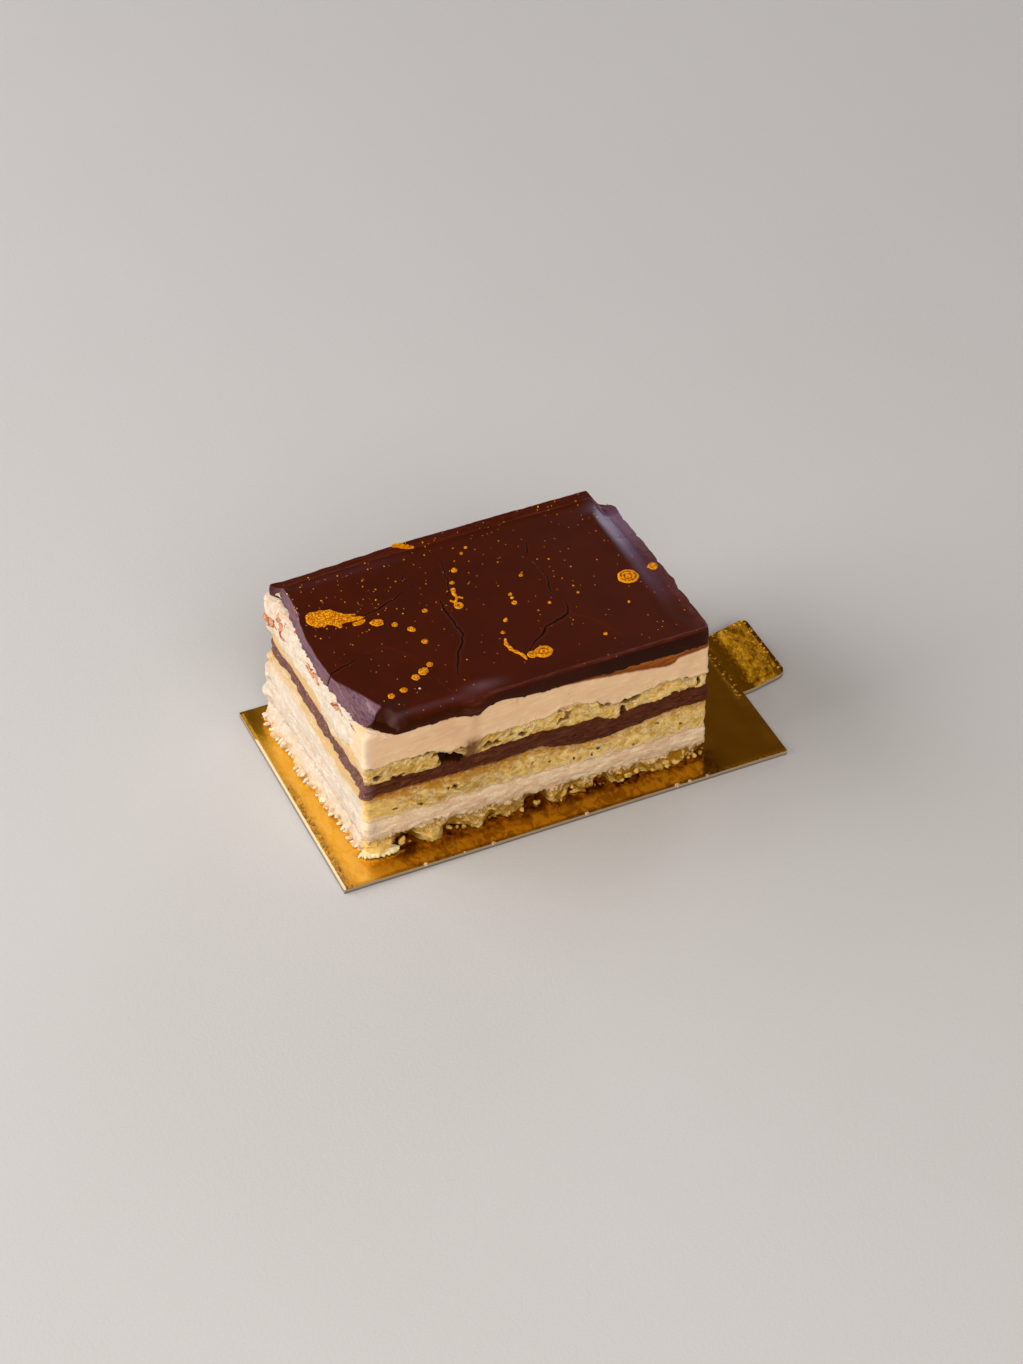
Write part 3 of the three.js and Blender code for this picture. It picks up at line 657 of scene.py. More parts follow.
def sponge_finish(name, colours, amber, syrup):
    """Almond sponge: pale curls over deeper hollows, with coffee syrup soaked in from above.

    amber is how far the whole sponge is soaked, and syrup how deep the band under its top goes.
    """
    f = Finish(name, colours, "sponge", CRUMB_SHADER)
    up, down = f.mark("up"), f.mark("down")
    grain = f.noise(0.36, 3.0, 0.62, 1.4, 30)
    fleck = f.noise((0.8, 0.8, 0.3), 2.0, 0.6, 1.8, 25)
    patch = f.step(f.noise(3.4, 3.0, 0.6), 0.4, 0.62)
    # The crest mark follows the crumb's relief, so the darker furrows and paler crests below are painted
    # shade and highlight as well as the crumb's own tone.
    tone = f.mark("crest") * 0.64 + grain * 0.36
    curl = f.line(f.noise(1.0, 2.0, 0.5, 2.4, 40), 0.11) * f.step(f.noise(1.5, 2.0, 0.6), 0.42, 0.56)
    gap = f.line(f.noise(1.1, 2.0, 0.5, 2.6, -25), 0.06) * f.step(f.noise(1.7, 2.0, 0.6), 0.5, 0.62)
    deep = f.mix("sponge_deep", "sponge_amber", amber)
    airy = 1.0 - 0.6 * amber
    f.coat(deep, f.step(tone, 0.5, 0.28) * (0.6 + 0.4 * amber) + patch * amber * 0.5)
    f.coat("sponge_pale", f.step(tone, 0.48, 0.7) * (0.75 - patch * 0.35) * airy)
    f.coat(deep, gap * 0.75)
    f.coat("sponge_white", f.step(fleck, 0.58, 0.7) * (0.4 - patch * 0.25) * airy)
    f.coat("sponge_white", curl * 0.62 * airy)
    f.coat("sponge_sunny", f.mark("sunny") * 0.6)
    # real soaking, and on the bottom sponge also painted shade where the foot is recessed
    f.coat("sponge_amber", f.mark("soak_and_shade") * f.step(tone, 0.85, 0.4))
    # painted shade: the pores and hollows of the crumb darkened
    f.coat("sponge_pore_shade", f.step(f.mark("hollow"), 0.35, 0.95) * 0.9)
    # the band soaked from above
    band = syrup * (f.noise((2.2, 2.2, 0.9), 3.0, 0.6) * 2.4 - 0.5)
    soaked = f.step(down - band, 1.3, -0.5) * f.mark("syrup")
    stained = f.mix("syrup", "syrup_deep", f.step(down - band * 0.3, 0.7, 0.1))
    dry = (f.step(tone, 0.5, 0.75) * 0.4 + curl * 0.3) * f.step(down, 0.2, 0.9)
    f.coat(stained, soaked * (1.0 - dry))
    # teeth of cream that hang into the sponge, each with painted shade below
    hang = down - (f.noise((0.5, 0.5, 1.4), 3.0, 0.65) * (2.6 + amber) - 1.05)
    toothed = f.mark("toothed")
    teeth = f.step(hang, 0.1, -0.06) * toothed
    under = f.step(hang, 0.55, 0.15) * toothed - teeth
    f.coat("sponge_pore_shade", under * (0.5 + 0.4 * amber) * f.step(grain, 0.35, 0.5))
    f.coat("cream", teeth)
    # the torn left end
    beige = f.mark("beige")
    torn = f.mix("cream_torn", "sponge_torn", beige * (f.noise((1.6, 5.0, 1.2), 3.0, 0.6) * 1.7 + 0.35))
    torn = f.mix(torn, "torn_white_and_highlight", f.fibres() * (0.7 - beige * 0.45))
    torn = f.mix(torn, "rust", f.step(f.noise(0.9, 3.0, 0.6), 0.56, 0.68) * f.mark("rusty"))
    f.coat(torn, f.mark("pale"))
    # cream from below, ganache rubbed in, and painted shade in torn holes
    reach = f.noise((1.8, 1.8, 0.9), 4.0, 0.65, 0.6) * 4.2 - 1.7
    f.coat("cream", f.step(up - reach, 0.6, -0.4) * f.mark("buttered") * (0.85 - gap * 0.5))
    rubbed = f.mark("smear") * (f.noise((0.6, 0.6, 2.4), 3.0, 0.6) * 1.8 + 0.3)
    f.coat("smear", rubbed.clamped() * 0.92)
    pit = f.mark("pit")
    f.coat("pit_rim", f.step(pit, 0.05, 0.3) * 0.9)
    f.coat("pit", f.step(pit, 0.25, 0.95) * 0.95)
    relief = tone * 0.45 + fleck * 0.2 + curl * 0.25 - gap * 0.2 + teeth * 0.8
    return f.done(0.6 + grain * 0.2, relief * (1.0 - f.mark("pale") * 0.75), 0.15)


def cream_finish(name, colours, streaks):
    """Coffee buttercream: smoothed by the knife on the cut, whiter and shredded where it tore."""
    f = Finish(name, colours, "cream", CREAM_SHADER)
    up, down, torn = f.mark("up"), f.mark("down"), f.mark("torn")
    drag = f.noise((4.0, 4.0, 0.6), 4.0, 0.6, 0.9, 8)
    cloud = f.noise(4.5, 3.0, 0.55)
    grain = f.noise(0.4, 3.0, 0.6)
    swirl = f.line(f.noise((1.9, 1.9, 1.1), 2.0, 0.5, 2.4, 25), 0.07)
    groove = f.line(f.noise((2.2, 2.2, 1.0), 2.0, 0.5, 2.6, -15), 0.04) * f.step(cloud, 0.46, 0.56)
    f.coat("cream_deep", f.step(cloud, 0.45, 0.75) * (0.45 - 0.35 * streaks))
    f.coat("cream_deep", f.step(drag, 0.52, 0.7) * 0.25)
    f.coat("cream_white", f.step(drag, 0.5, 0.34) * (0.25 + 0.65 * streaks))
    f.coat("cream_white", 0.18 * streaks)
    f.coat("cream_white", swirl * 0.6 * streaks)
    f.coat("smear_orange", groove * 0.3 * streaks)
    f.coat("cream_pink", f.mark("blush") * f.step(cloud, 0.35, 0.6))
    # the torn left end
    shreds = f.noise((1.1, 3.4, 0.6), 4.0, 0.6, 0.8)
    ragged = f.mix("cream_torn", "cream_shade", f.step(shreds, 0.52, 0.7) * 0.55)
    ragged = f.mix(ragged, "sponge_torn", f.step(f.noise((1.5, 4.0, 1.2), 2.0), 0.56, 0.7) * 0.4)
    ragged = f.mix(ragged, "torn_white_and_highlight", f.fibres() * 0.7)
    # painted light on the near left corner of the cream
    f.coat("torn_white_and_highlight", f.mark("lit") * 0.5)
    f.coat(ragged, torn)
    f.coat("rust", f.step(f.noise((2.6, 1.7, 1.0), 3.0, 0.6), 0.47, 0.66) * f.mark("rusty"))
    # sponge below, ganache rubbed in, and caramel above
    roots = f.step(f.noise((1.1, 1.1, 1.6), 3.0, 0.6) * 1.7 - 0.75 - up, -0.15, 0.25)
    f.coat("sponge", roots * f.mark("rooted"))
    rubbed = f.mark("smear") * (f.noise((0.6, 0.6, 1.6), 3.0, 0.6) * 1.8 + 0.2)
    # the smear colour also lays a painted shadow down the crease
    f.coat("smear", rubbed * 0.85 + f.mark("crease_shade") * 0.1)
    f.coat("caramel_pale", f.step(down, 0.3, 0.08) * f.mark("glazed") * 0.8)
    stained = f.mix("caramel", "caramel_pale", f.mark("thin") * f.step(drag, 0.4, 0.6))
    f.coat(stained, f.mark("caramel"))
    # glaze dragged over the torn end
    chocolate = f.mark("chocolate")
    spread = chocolate + (f.noise(0.6, 3.0, 0.6) - 0.5) * 0.8
    wet = f.step(spread, 0.4, 0.52)
    f.coat("cream_pink", f.step(chocolate, 0.02, 0.5) * 0.45)
    # painted highlights glinting on the wet glaze
    glints = f.step(f.noise(0.35, 3.0, 0.7), 0.52, 0.64)
    copper = f.mix("smear_orange", "torn_white_and_highlight", glints * 0.6)
    copper = f.mix(copper, "smear_red", f.line(cloud, 0.03))
    f.coat(f.mix("smear_red", copper, f.step(spread, 0.5, 0.8)), wet)
    # painted shade in the torn hollows
    f.coat("pit", f.step(f.mark("pit"), 0.25, 1.0) * 0.92)
    f.coat("caramel_pale", f.step(f.cells(2.6), 0.06, 0.04) * 0.5)
    relief = drag * (0.35 + 0.25 * streaks) + (swirl - groove) * 0.22 * streaks
    relief = relief + grain * (1.0 - torn * 0.6) * 0.2 + shreds * torn * 0.35
    return f.done(0.45 + drag * 0.12 - wet * 0.25, relief, 0.13)


def ganache_finish(name, colours):
    """Ganache dragged by the knife, with fine lines along the cut and a painted purple-grey sheen on the
    torn end.
    """
    f = Finish(name, colours, "ganache", {"Specular IOR Level": 0.2})
    lines = f.noise((3.2, 3.2, 0.3), 4.0, 0.65, 0.8, 6)
    cloud = f.noise((3.4, 3.4, 1.0), 3.0, 0.6)
    stroke = f.line(f.noise((3.0, 3.0, 0.45), 3.0, 0.6, 1.2, 9), 0.05)
    torn = f.mark("torn")
    f.coat("ganache_deep", f.step(cloud, 0.42, 0.62) * 0.7)
    f.coat("ganache_pale", f.step(lines, 0.48, 0.66) * 0.85)
    f.coat("ganache_deep", stroke)
    # painted purple-grey sheen on the torn end
    f.coat("ganache_torn_sheen", torn * (0.55 + f.step(lines, 0.4, 0.65) * 0.45))
    flecks = f.step(f.noise(0.5, 3.0, 0.7) + torn * 0.06, 0.66, 0.74)
    f.coat("cream_shade", flecks * (0.12 + torn * 0.7))
    # painted shade in the slits and torn hollows
    f.coat("pit", f.step(f.mark("pit"), 0.25, 1.0) * 0.92)
    relief = lines * 0.6 + f.noise(0.4, 3.0, 0.6) * 0.3 - stroke * 0.25
    return f.done(0.4 + lines * 0.2, relief, 0.3)


def glaze_finish(name, colours):
    """Dark glaze: glossy on top, matt with fine knife lines where it was cut."""
    f = Finish(name, colours, "glaze", {"Specular IOR Level": 0.12, "Coat Roughness": 0.24})
    face, cut, sheen, rim = f.mark("face"), f.mark("cut"), f.mark("sheen"), f.mark("crack_highlight")
    mottle = f.noise(0.4, 3.0, 0.6)
    f.coat("glaze_deep", f.step(f.noise(8.0, 3.0), 0.4, 0.62) * 0.6)
    f.coat("glaze_pale", f.step(mottle, 0.56, 0.78) * 0.22)
    f.coat("glaze_pale", f.step(f.noise((1.4, 6.0, 1.4), 4.0, 0.7, 0.4), 0.62, 0.8) * 0.35)
    f.coat("cream_pink", f.step(f.cells(2.0), 0.075, 0.045) * 0.6)
    smears = f.noise((2.2, 2.2, 0.4), 4.0, 0.65, 0.6)
    # The upright sides get painted shade, a darker colour with reddish streaks, and a painted shadow
    # towards the right of the front.
    painted_light = f.mix("glaze_side_shade", "glaze_red_and_highlight", f.step(smears, 0.58, 0.74) * 0.4)
    f.coat(f.mix(painted_light, "crack", f.mark("shadow") * 0.4), face)
    knife = f.noise((0.3, 6.0, 0.26), 4.0, 0.7, 0.3)
    # painted sheen on the cut edge and the rolls, with the knife lines across the cut
    purple = f.mix("glaze_edge_sheen", "glaze_mauve", f.step(knife, 0.46, 0.62) * cut)
    f.coat(purple, f.mark("edge_sheen") * (0.8 + mottle * 0.4))
    # painted sheen on the rolled right end
    f.coat("glaze_sheen", sheen * (0.75 + mottle * 0.5))
    streaked = f.noise((2.5, 0.3, 0.5), 4.0, 0.7, 0.6)
    # thin glaze and a painted reddish highlight along the ridges
    ridge = f.mark("ridge") * (0.2 + f.step(streaked, 0.42, 0.66) * 0.8)
    f.coat("glaze_red_and_highlight", ridge)
    f.coat("cream_white", f.step(f.cells(0.6), 0.24, 0.14) * f.mark("nicked"))
    # painted reddish highlight along the rims of the cracks
    f.coat("crack_highlight", rim * 0.5)
    # painted shade inside the cracks
    inside = f.step(f.mark("crack"), 0.02, 0.35)
    f.coat("crack", inside)
    gloss = 0.45 - inside - rim - f.mark("matt") - face * 0.8 - ridge * 0.3 - sheen * 0.7
    roughness = 0.3 + cut * 0.2 + face * 0.3 + inside * 0.6
    relief = cut * knife * 0.9 + mottle * 0.05 + ridge * 0.5
    return f.done(roughness.clamped(), relief, 0.06, {"Coat Weight": gloss.clamped()})


def gold_finish(name, colours):
    """Edible gold paint: bright lines and dots, with the glaze showing where it lies thin."""
    f = Finish(name, colours, "gold", {"Specular IOR Level": 0.05})
    lace = f.mark("lace")
    mottle = f.noise(0.45, 3.0, 0.6)
    inner = 1.0 - f.mark("rim")
    f.coat("gold_deep", f.step(mottle, 0.46, 0.62) * 0.7 * inner)
    dots = f.step(f.cells(0.36), 0.5, 0.22)
    laced = f.mix("gold_deep", "gold_bright", dots * 0.8)
    f.coat(laced, lace * inner * 1.3)
    # the spoon's coils, and the ring inside each small drop
    reach = f.mark("reach") + (f.noise(1.1, 2.0) - 0.5) * 0.55
    wave = f.node("ShaderNodeMath", {"operation": "SINE"}, {0: reach * 9.5})
    broken = f.step(f.noise(0.55, 2.0), 0.42, 0.56)
    coil = f.step(wave, -0.35, 0.45) * f.mark("coil") * (0.35 + broken * 0.65)
    spot = f.step(mottle, 0.62, 0.72) * 0.55
    dark = ((coil + spot * 0.4 + f.mark("ring") * broken) * inner).clamped()
    f.coat("gold_line", dark)
    f.coat("crack", f.step(f.cells(1.9), 0.2, 0.13) * lace * 0.9)
    f.coat("gold_bright", f.step(mottle, 0.5, 0.36) * (1.0 - dark) * 0.8)
    return f.done(0.45 + mottle * 0.1, mottle * 0.5 - dark + dots * 0.3, 0.06)


def foil_finish(name, colours):
    """Gold foil on pale board: mirror-bright, crumpled and pressed near its edges, with painted shade,
    reflections, glints and an edge highlight.
    """
    f = Finish(name, colours, "foil", {"Specular IOR Level": 0.5})
    far_left, depth = f.mark("outer"), f.mark("depth")
    creases = f.noise(2.6, 3.0, 0.55)
    waves = f.noise(8.0, 2.0)
    dapple = f.noise((1.6, 2.4, 1.6), 3.0, 0.6, 0.8)
    f.coat("foil_deep", f.step(waves, 0.4, 0.62) * 0.35)
    # painted shade and dark reflection: dappled in front of the slice, and on the tab
    f.coat("foil_shade", f.mark("shade") * (0.45 + f.step(dapple, 0.42, 0.6) * 0.55))
    blotches = f.noise((2.0, 3.5, 2.0), 3.0, 0.6, 1.2)
    # painted reflection of the lit left end of the slice on the left strip
    lit = f.mix("foil_lit", "foil", f.step(blotches, 0.46, 0.62) * 0.9)
    f.coat(lit, f.mark("lit") * (0.7 + f.step(waves, 0.35, 0.6) * 0.3))
    # pressed lines near the edges, darkened as a painted dark reflection in their wrinkles
    wrinkles = f.noise((0.35, 0.8, 0.8), 3.0, 0.7, 1.5, 20)
    rub = f.step(wrinkles, 0.47, 0.53) * (f.mark("rim") + f.step(far_left, 0.15, 0.75) * 0.5)
    rub = rub.clamped()
    f.coat("foil_rub_dark_reflection", rub)
    # painted highlight: a pale line along the card's left edge
    outer = f.step(far_left, 0.84, 0.9)
    f.coat("board_edge_highlight", outer)
    # painted glints: sparkling specks on the tab, made less metallic so that the lamps light them
    glint = f.step(f.cells(0.8), 0.46, 0.26) * f.step(f.noise(1.4, 2.0), 0.38, 0.52) * f.mark("glint")
    f.coat("foil_glint", glint)
    edge = f.step(depth, 0.06, 0.12)
    plies = f.noise((20.0, 20.0, 0.2), 3.0)
    # the board's cut edge, darker towards the bottom: painted shade
    f.coat(f.mix("board", "board_edge_shade", f.step(depth + plies * 0.3, 0.5, 0.95)), edge)
    dull = edge + glint * 0.8 + rub * 0.8 + outer + f.mark("lit") * 0.35
    roughness = 0.14 + rub * 0.3 + edge * 0.6 + dapple * 0.08
    relief = creases * 0.4 + waves * 1.2 + dapple * 0.1
    return f.done(roughness.clamped(), relief, 0.16, {"Metallic": 1.0 - dull.clamped()})


def crumb_finish(name, colours):
    """Loose crumbs: each its own shade from ivory to soaked amber."""
    f = Finish(name, colours, "torn_white_and_highlight", CRUMB_SHADER)
    tone = f.mark("tone")
    grain = f.noise(0.25, 3.0, 0.6, 1.0)
    f.coat("sponge_white", f.step(tone, 0.04, 0.12))
    f.coat("sponge", f.step(tone, 0.35, 0.6))
    f.coat("sponge_amber", f.step(tone, 0.65, 0.95))
    f.coat("sponge_deep", f.step(grain, 0.52, 0.75) * 0.3 * f.step(tone, 0.2, 0.5))
    return f.done(0.7, grain, 0.07)


def syrup_finish(name, colours):
    """A bead of clear syrup with a little cream in it."""
    f = Finish(name, colours, "bead", {"Specular IOR Level": 0.6})
    f.coat("cream", f.step(f.noise(0.4, 2.0), 0.45, 0.65))
    return f.done(0.15)


def floor_finish(name, colours):
    """A pale matt floor with a fine grain."""
    f = Finish(name, colours, "floor", {"Specular IOR Level": 0.2})
    grain = f.noise(0.7, 2.0, 0.7)
    f.coat("floor_deep", f.noise(60.0, 2.0) * 0.6 + grain * 0.4)
    return f.done(0.8, grain, 0.05)


# ---------------------------------------------------------------- the layers' sides


def front_band(wall, start, end):
    """1 on the front between two places along X, with soft ends."""
    return wall.front * smooth(start - 1, start, wall.x) * smooth(end + 1, end, wall.x)


def shreds(wall, seed):
    """Torn shreds on the left end: long ridges along Y that dip towards the front, from -1 to 1."""
    leaning = wall.points + np.outer(wall.y, (0.0, 0.0, -0.16))
    return rough(leaning, (1.4, 4.5, 1.3), seed, 2)


def far_corner(wall, seed):
    """Ragged lobes that stand out where the torn left end meets the back, from 0 to 1."""
    lobes = unit(wall.ripple((1.6, 1.6, 0.9), seed) * 1.6 + 0.2)
    return lobes * wall.left * bell(wall.y, SLICE_BACK - 0.6, 2.2) * unit(-1.4 * wall.nx)


def tongues(wall, low, high, seed):
    """Torn tongues that stand out from the left end between two heights, from 0 to 1."""
    large = smooth(-6.0, 8.0, wall.y)
    narrow = unit(wall.ripple((3.0, 0.65, 1.3), seed) * 1.8 + 0.1)
    wide = unit(wall.ripple((3.0, 1.3, 1.6), seed + 3) * 1.6 + 0.2)
    return mix(narrow, wide * 1.2, large) * wall.torn * smooth(high, low, wall.z)


def foot_reach(wall):
    """How far the foot stands out over the card all round the slice."""
    front = along(FOOT_FRONT, wall.x) * wall.front
    side = along(FOOT_LEFT, wall.y) * wall.left * (1 - wall.front)
    rest = (1 - wall.front) * (1 - wall.left)
    return front + side + rest * (0.1 + 0.9 * sine_wave(1.1 * wall.run, 0.0, 17))


def rubbed_band(wall, left, right):
    """1 where the knife rubbed ganache over the front, with ragged ends near those places."""
    x = wall.x + 0.5 * wall.ripple((1.0, 1.0, 0.8), 59)
    return wall.front * smooth(*left, x) * smooth(*right, x)


def sponge_bottom_side(wall):
    fallen = (1 - wall.share) ** 0.8
    foot = along(FOOT_FRONT, wall.x)
    clumps = wall.rough((1.3, 1.3, 1.0), 11, 3) * 0.45 * (1 - 0.8 * wall.torn)
    lobes = 0.85 * tongues(wall, 1.8, 3.8, 14) + 0.3 * tongues(wall, 3.0, 6.0, 16)
    crumbs = crumb(wall, 0.32, 12, 0.4)
    # Where the foot is recessed the crest drops and the soaking rises: painted shade there. The soaking
    # also grows towards the card.
    crest = unit(wall.marks["crest"] + 0.3 * clumps - 0.4 * wall.front * smooth(-0.2, -1.6, foot))
    soaked = 0.5 + 0.5 * smooth(-3.0, 4.0, wall.x) - 0.5 * bell(wall.x, -25.0, 3.5)
    soaked += 0.45 * smooth(0.6, -0.6, foot) + 0.3 * smooth(0.45, 0.1, wall.share)
    wall.mark(
        crest=crest,
        soak_and_shade=unit(soaked * smooth(0.95, 0.5, crest) * smooth(-36.5, -34.0, wall.x)) * wall.front,
        rusty=0.7 * smooth(2.0, 12.0, wall.y) * smooth(4.5, 2.5, wall.z),
        toothed=wall.front * (1 - 0.25 * smooth(-3.0, 4.0, wall.x)),
        pale=wall.torn,
        beige=wall.torn * (0.1 + 0.5 * smooth(3.8, 1.8, wall.z)),
        sunny=wall.front * smooth(-20.0, -34.0, wall.x),
    )
    inward = -0.3 + 0.45 * wall.torn + 0.2 * wall.torn * shreds(wall, 15)
    far_end = 1 - 0.85 * wall.left * smooth(24.0, 26.2, wall.y)
    return wall.skew + inward + (foot_reach(wall) * fallen + lobes) * far_end + clumps + crumbs


def cream_bottom_side(wall):
    bulge = (0.3 + 0.35 * wall.left) * np.sin(np.pi * wall.share)
    drag = wall.rough((4.0, 4.0, 0.7), 21) * 0.11
    lumps = wall.rough((1.5, 1.5, 0.9), 22) * 0.13 * (1 - wall.torn)
    teeth = smooth(0.35, 0.0, wall.share) * wall.ripple((0.7, 0.7, 3.0), 23) * 0.35
    fringe = 0.35 * tongues(wall, 4.0, 8.5, 24) + 0.9 * far_corner(wall, 27)
    wall.mark(
        torn=wall.torn,
        blush=0.4 * wall.front * smooth(0.1, 0.6, wall.rough((3.0, 3.0, 1.2), 25)),
        rooted=wall.front,
        lit=wall.front * smooth(-36.0, -39.8, wall.x),
    )
    return wall.skew + bulge + drag + lumps + teeth + fringe + 0.25 * wall.torn * shreds(wall, 26)


def sponge_middle_side(wall):
    torn_in = hollows(wall, MIDDLE_HOLLOWS, 31)
    ragged = wall.rough(2.2, 32) * 0.2 * (1 - wall.torn) + 0.3 * wall.torn * shreds(wall, 35)
    tucked = 0.2 * smooth(0.93, 1.0, wall.share) * wall.front
    out = wall.skew * (1 - 0.4 * wall.share) + ragged + crumb(wall, 0.15, 33, 0.3) - tucked
    fade = smooth(-40.5, -37.5, wall.x) * mix(1.0, 0.55, smooth(-18.0, 8.0, wall.x))
    tanned = smooth(5.4, 0.8, wall.marks["down"]) * mix(1.35, 0.8, smooth(-8.0, 8.0, wall.y))
    wall.mark(
        sunny=0.8 * wall.front * smooth(-29.0, -36.0, wall.x),
        soak_and_shade=0.5 * wall.front * bell(wall.x, -19.0, 12.0),
        syrup=fade * unit(wall.front + 0.45),
        pale=wall.torn,
        beige=wall.torn * tanned,
        buttered=1 - wall.torn,
        pit=unit(torn_in / 0.5),
    )
    return out + 0.8 * far_corner(wall, 36) - torn_in


def ganache_side(wall):
    beak = 1.4 * bell(wall.x, SLICE_LEFT, 1.4) * bell(wall.y, SLICE_FRONT, 1.4)
    set_back = 0.15 * smooth(SLICE_LEFT + 2, SLICE_LEFT, wall.x) * smooth(-16.0, -6.0, wall.y)
    # dark slits in the ganache: sunk in, and darkened by painted shade
    slit = front_band(wall, -39, -29) * bell(wall.z, 17.75 + 0.1 * np.sin(wall.x), 0.22)
    slit += front_band(wall, -1, 4) * bell(wall.z, 15.9 + 0.12 * wall.x, 0.12) * 0.7
    slit += front_band(wall, 3.5, 9) * bell(wall.z, 16.1 + 0.05 * (wall.x - 4), 0.13) * 0.8
    torn_in = hollows(wall, FRONT_HOLLOWS, 51)
    wall.mark(torn=unit(wall.left * 1.2), pit=unit(0.75 * slit + torn_in / 1.2))
    out = 0.5 * wall.skew + 0.12 + beak * (1 - 0.8 * wall.share) - set_back
    out += wall.rough((4.0, 4.0, 0.5), 41) * 0.22 + front_band(wall, -28.5, 40) * 0.2
    return out - 0.6 * slit - 0.8 * torn_in + wall.rough(1.6, 42) * (0.08 + 0.25 * wall.torn)


def sponge_top_side(wall):
    torn_in = hollows(wall, FRONT_HOLLOWS, 51)
    lean = wall.skew * (0.4 + 0.5 * wall.share)
    ragged = wall.rough(1.8, 52) * 0.2 * (1 - wall.torn) + 0.3 * wall.torn * shreds(wall, 56)
    relief = crumb(wall, 0.2, 53, 0.28)
    dragged = rubbed_band(wall, (-20.2, -18.9), (-14.6, -18.4))
    patches = smooth(-0.8, 0.1, wall.ripple((3.0, 4.5, 3.0), 58))
    # slots along the top under the cream: sunk in, and darkened by painted shade
    slots = smooth(0.86, 0.97, wall.share) * wall.front
    slots = slots * smooth(0.1, 0.4, wall.ripple((1.6, 1.6, 9.0), 57))
    wall.mark(
        pale=wall.torn,
        beige=wall.torn * patches * (1.3 - 0.6 * wall.share),
        soak_and_shade=0.4 * wall.front * smooth(-5.0, -11.0, wall.x),
        rusty=0.6 * smooth(12.0, 18.0, wall.y),
        toothed=0.8 * wall.front,
        smear=unit(dragged * (1.2 - 0.3 * wall.share)),
        pit=unit(torn_in / 1.1 + 0.7 * slots),
    )
    ragged = ragged * (1 - 0.7 * dragged)
    return lean - 0.1 - 0.3 * wall.torn + ragged + relief - torn_in - 0.3 * slots


def caramel_stain(wall):
    """Caramel that ran under the glaze on the right of the front: thin, then a smear, then thin."""
    height = along(CARAMEL_DEPTH, wall.x)
    below = wall.marks["down"]
    edge = height + 0.1 * wall.ripple(1.4, 62) + 0.05 * wall.ripple(0.4, 63)
    wall.mark(
        caramel=smooth(edge + 0.15, edge - 0.35, below) * (height > 0.05) * wall.front,
        thin=front_band(wall, 13, 33) * smooth(edge - 0.4, edge - 1.4, below),
    )


def chocolate_smears(wall):
    """Chocolate that the knife dragged over the torn left end."""
    y = wall.y + 0.8 * wall.ripple((1.0, 1.5, 0.7), 66)
    z = wall.z + 0.5 * wall.ripple(0.8, 67)
    spots = [(*smear, 1.0) for smear in LEFT_SMEARS]
    wall.mark(chocolate=largest_spot(y, z, spots) * wall.left)


def cream_top_side(wall):
    wall.torn = wall.left * smooth(-18.5, -13.0, wall.y)
    torn_in = hollows(wall, FRONT_HOLLOWS, 51)
    drag = wall.rough((4.0, 4.0, 2.2), 63) * 0.12
    rough_end = wall.torn * (0.42 * shreds(wall, 64) + 0.15 * wall.rough(1.2, 68, 2))
    crease = wall.front * bell(wall.x, -16.6, 1.0) * smooth(22.5, 27.0, wall.z)
    curl = smooth(0.12, 0.0, wall.share) * wall.front * (0.28 + 0.3 * wall.ripple(1.2, 65))
    streak = bell(wall.x, -8.2 + 0.4 * np.sin(0.8 * wall.z), 0.35) + bell(wall.x, -9.6, 0.3) * 0.5
    caramel_stain(wall)
    chocolate_smears(wall)
    wall.mark(
        torn=wall.torn,
        blush=unit(wall.front * (streak + bell(wall.x, -22, 5) * 0.4)),
        smear=rubbed_band(wall, (-20.0, -18.6), (-14.8, -18.0)) * smooth(24.4, 21.9, wall.z),
        # painted shadow down the crease at x -16.9
        crease_shade=wall.front * bell(wall.x, -16.9, 1.3) * smooth(21.0, 24.0, wall.z),
        lit=wall.front * smooth(-37.4, -39.8, wall.x),
        rusty=0.75 * wall.left * bell(wall.y, 20.0, 4.5) * smooth(25.0, 27.0, wall.z),
        glazed=wall.front * smooth(-36.0, -31.0, wall.x),
        pit=unit(torn_in / 1.3),
    )
    out = wall.skew * (0.9 - 0.5 * wall.share**2) + drag + rough_end - 0.3 * crease + curl
    return out + 0.7 * far_corner(wall, 69) - torn_in


# Each layer of the slice: its CAD node, its boundaries, its rows of points and its side.
LAYERS = {
    "bottom_sponge": ("sponge_bottom", card_top, boundary(0), 22, sponge_bottom_side),
    "lower_buttercream": ("buttercream_bottom", boundary(0), boundary(1), 24, cream_bottom_side),
    "middle_sponge": ("sponge_middle", boundary(1), boundary(2), 34, sponge_middle_side),
    "ganache_layer": ("ganache", boundary(2), boundary(3), 20, ganache_side),
    "upper_sponge": ("sponge_top", boundary(3), boundary(4), 22, sponge_top_side),
    "upper_buttercream": ("buttercream_top", boundary(4), boundary(5), 36, cream_top_side),
}


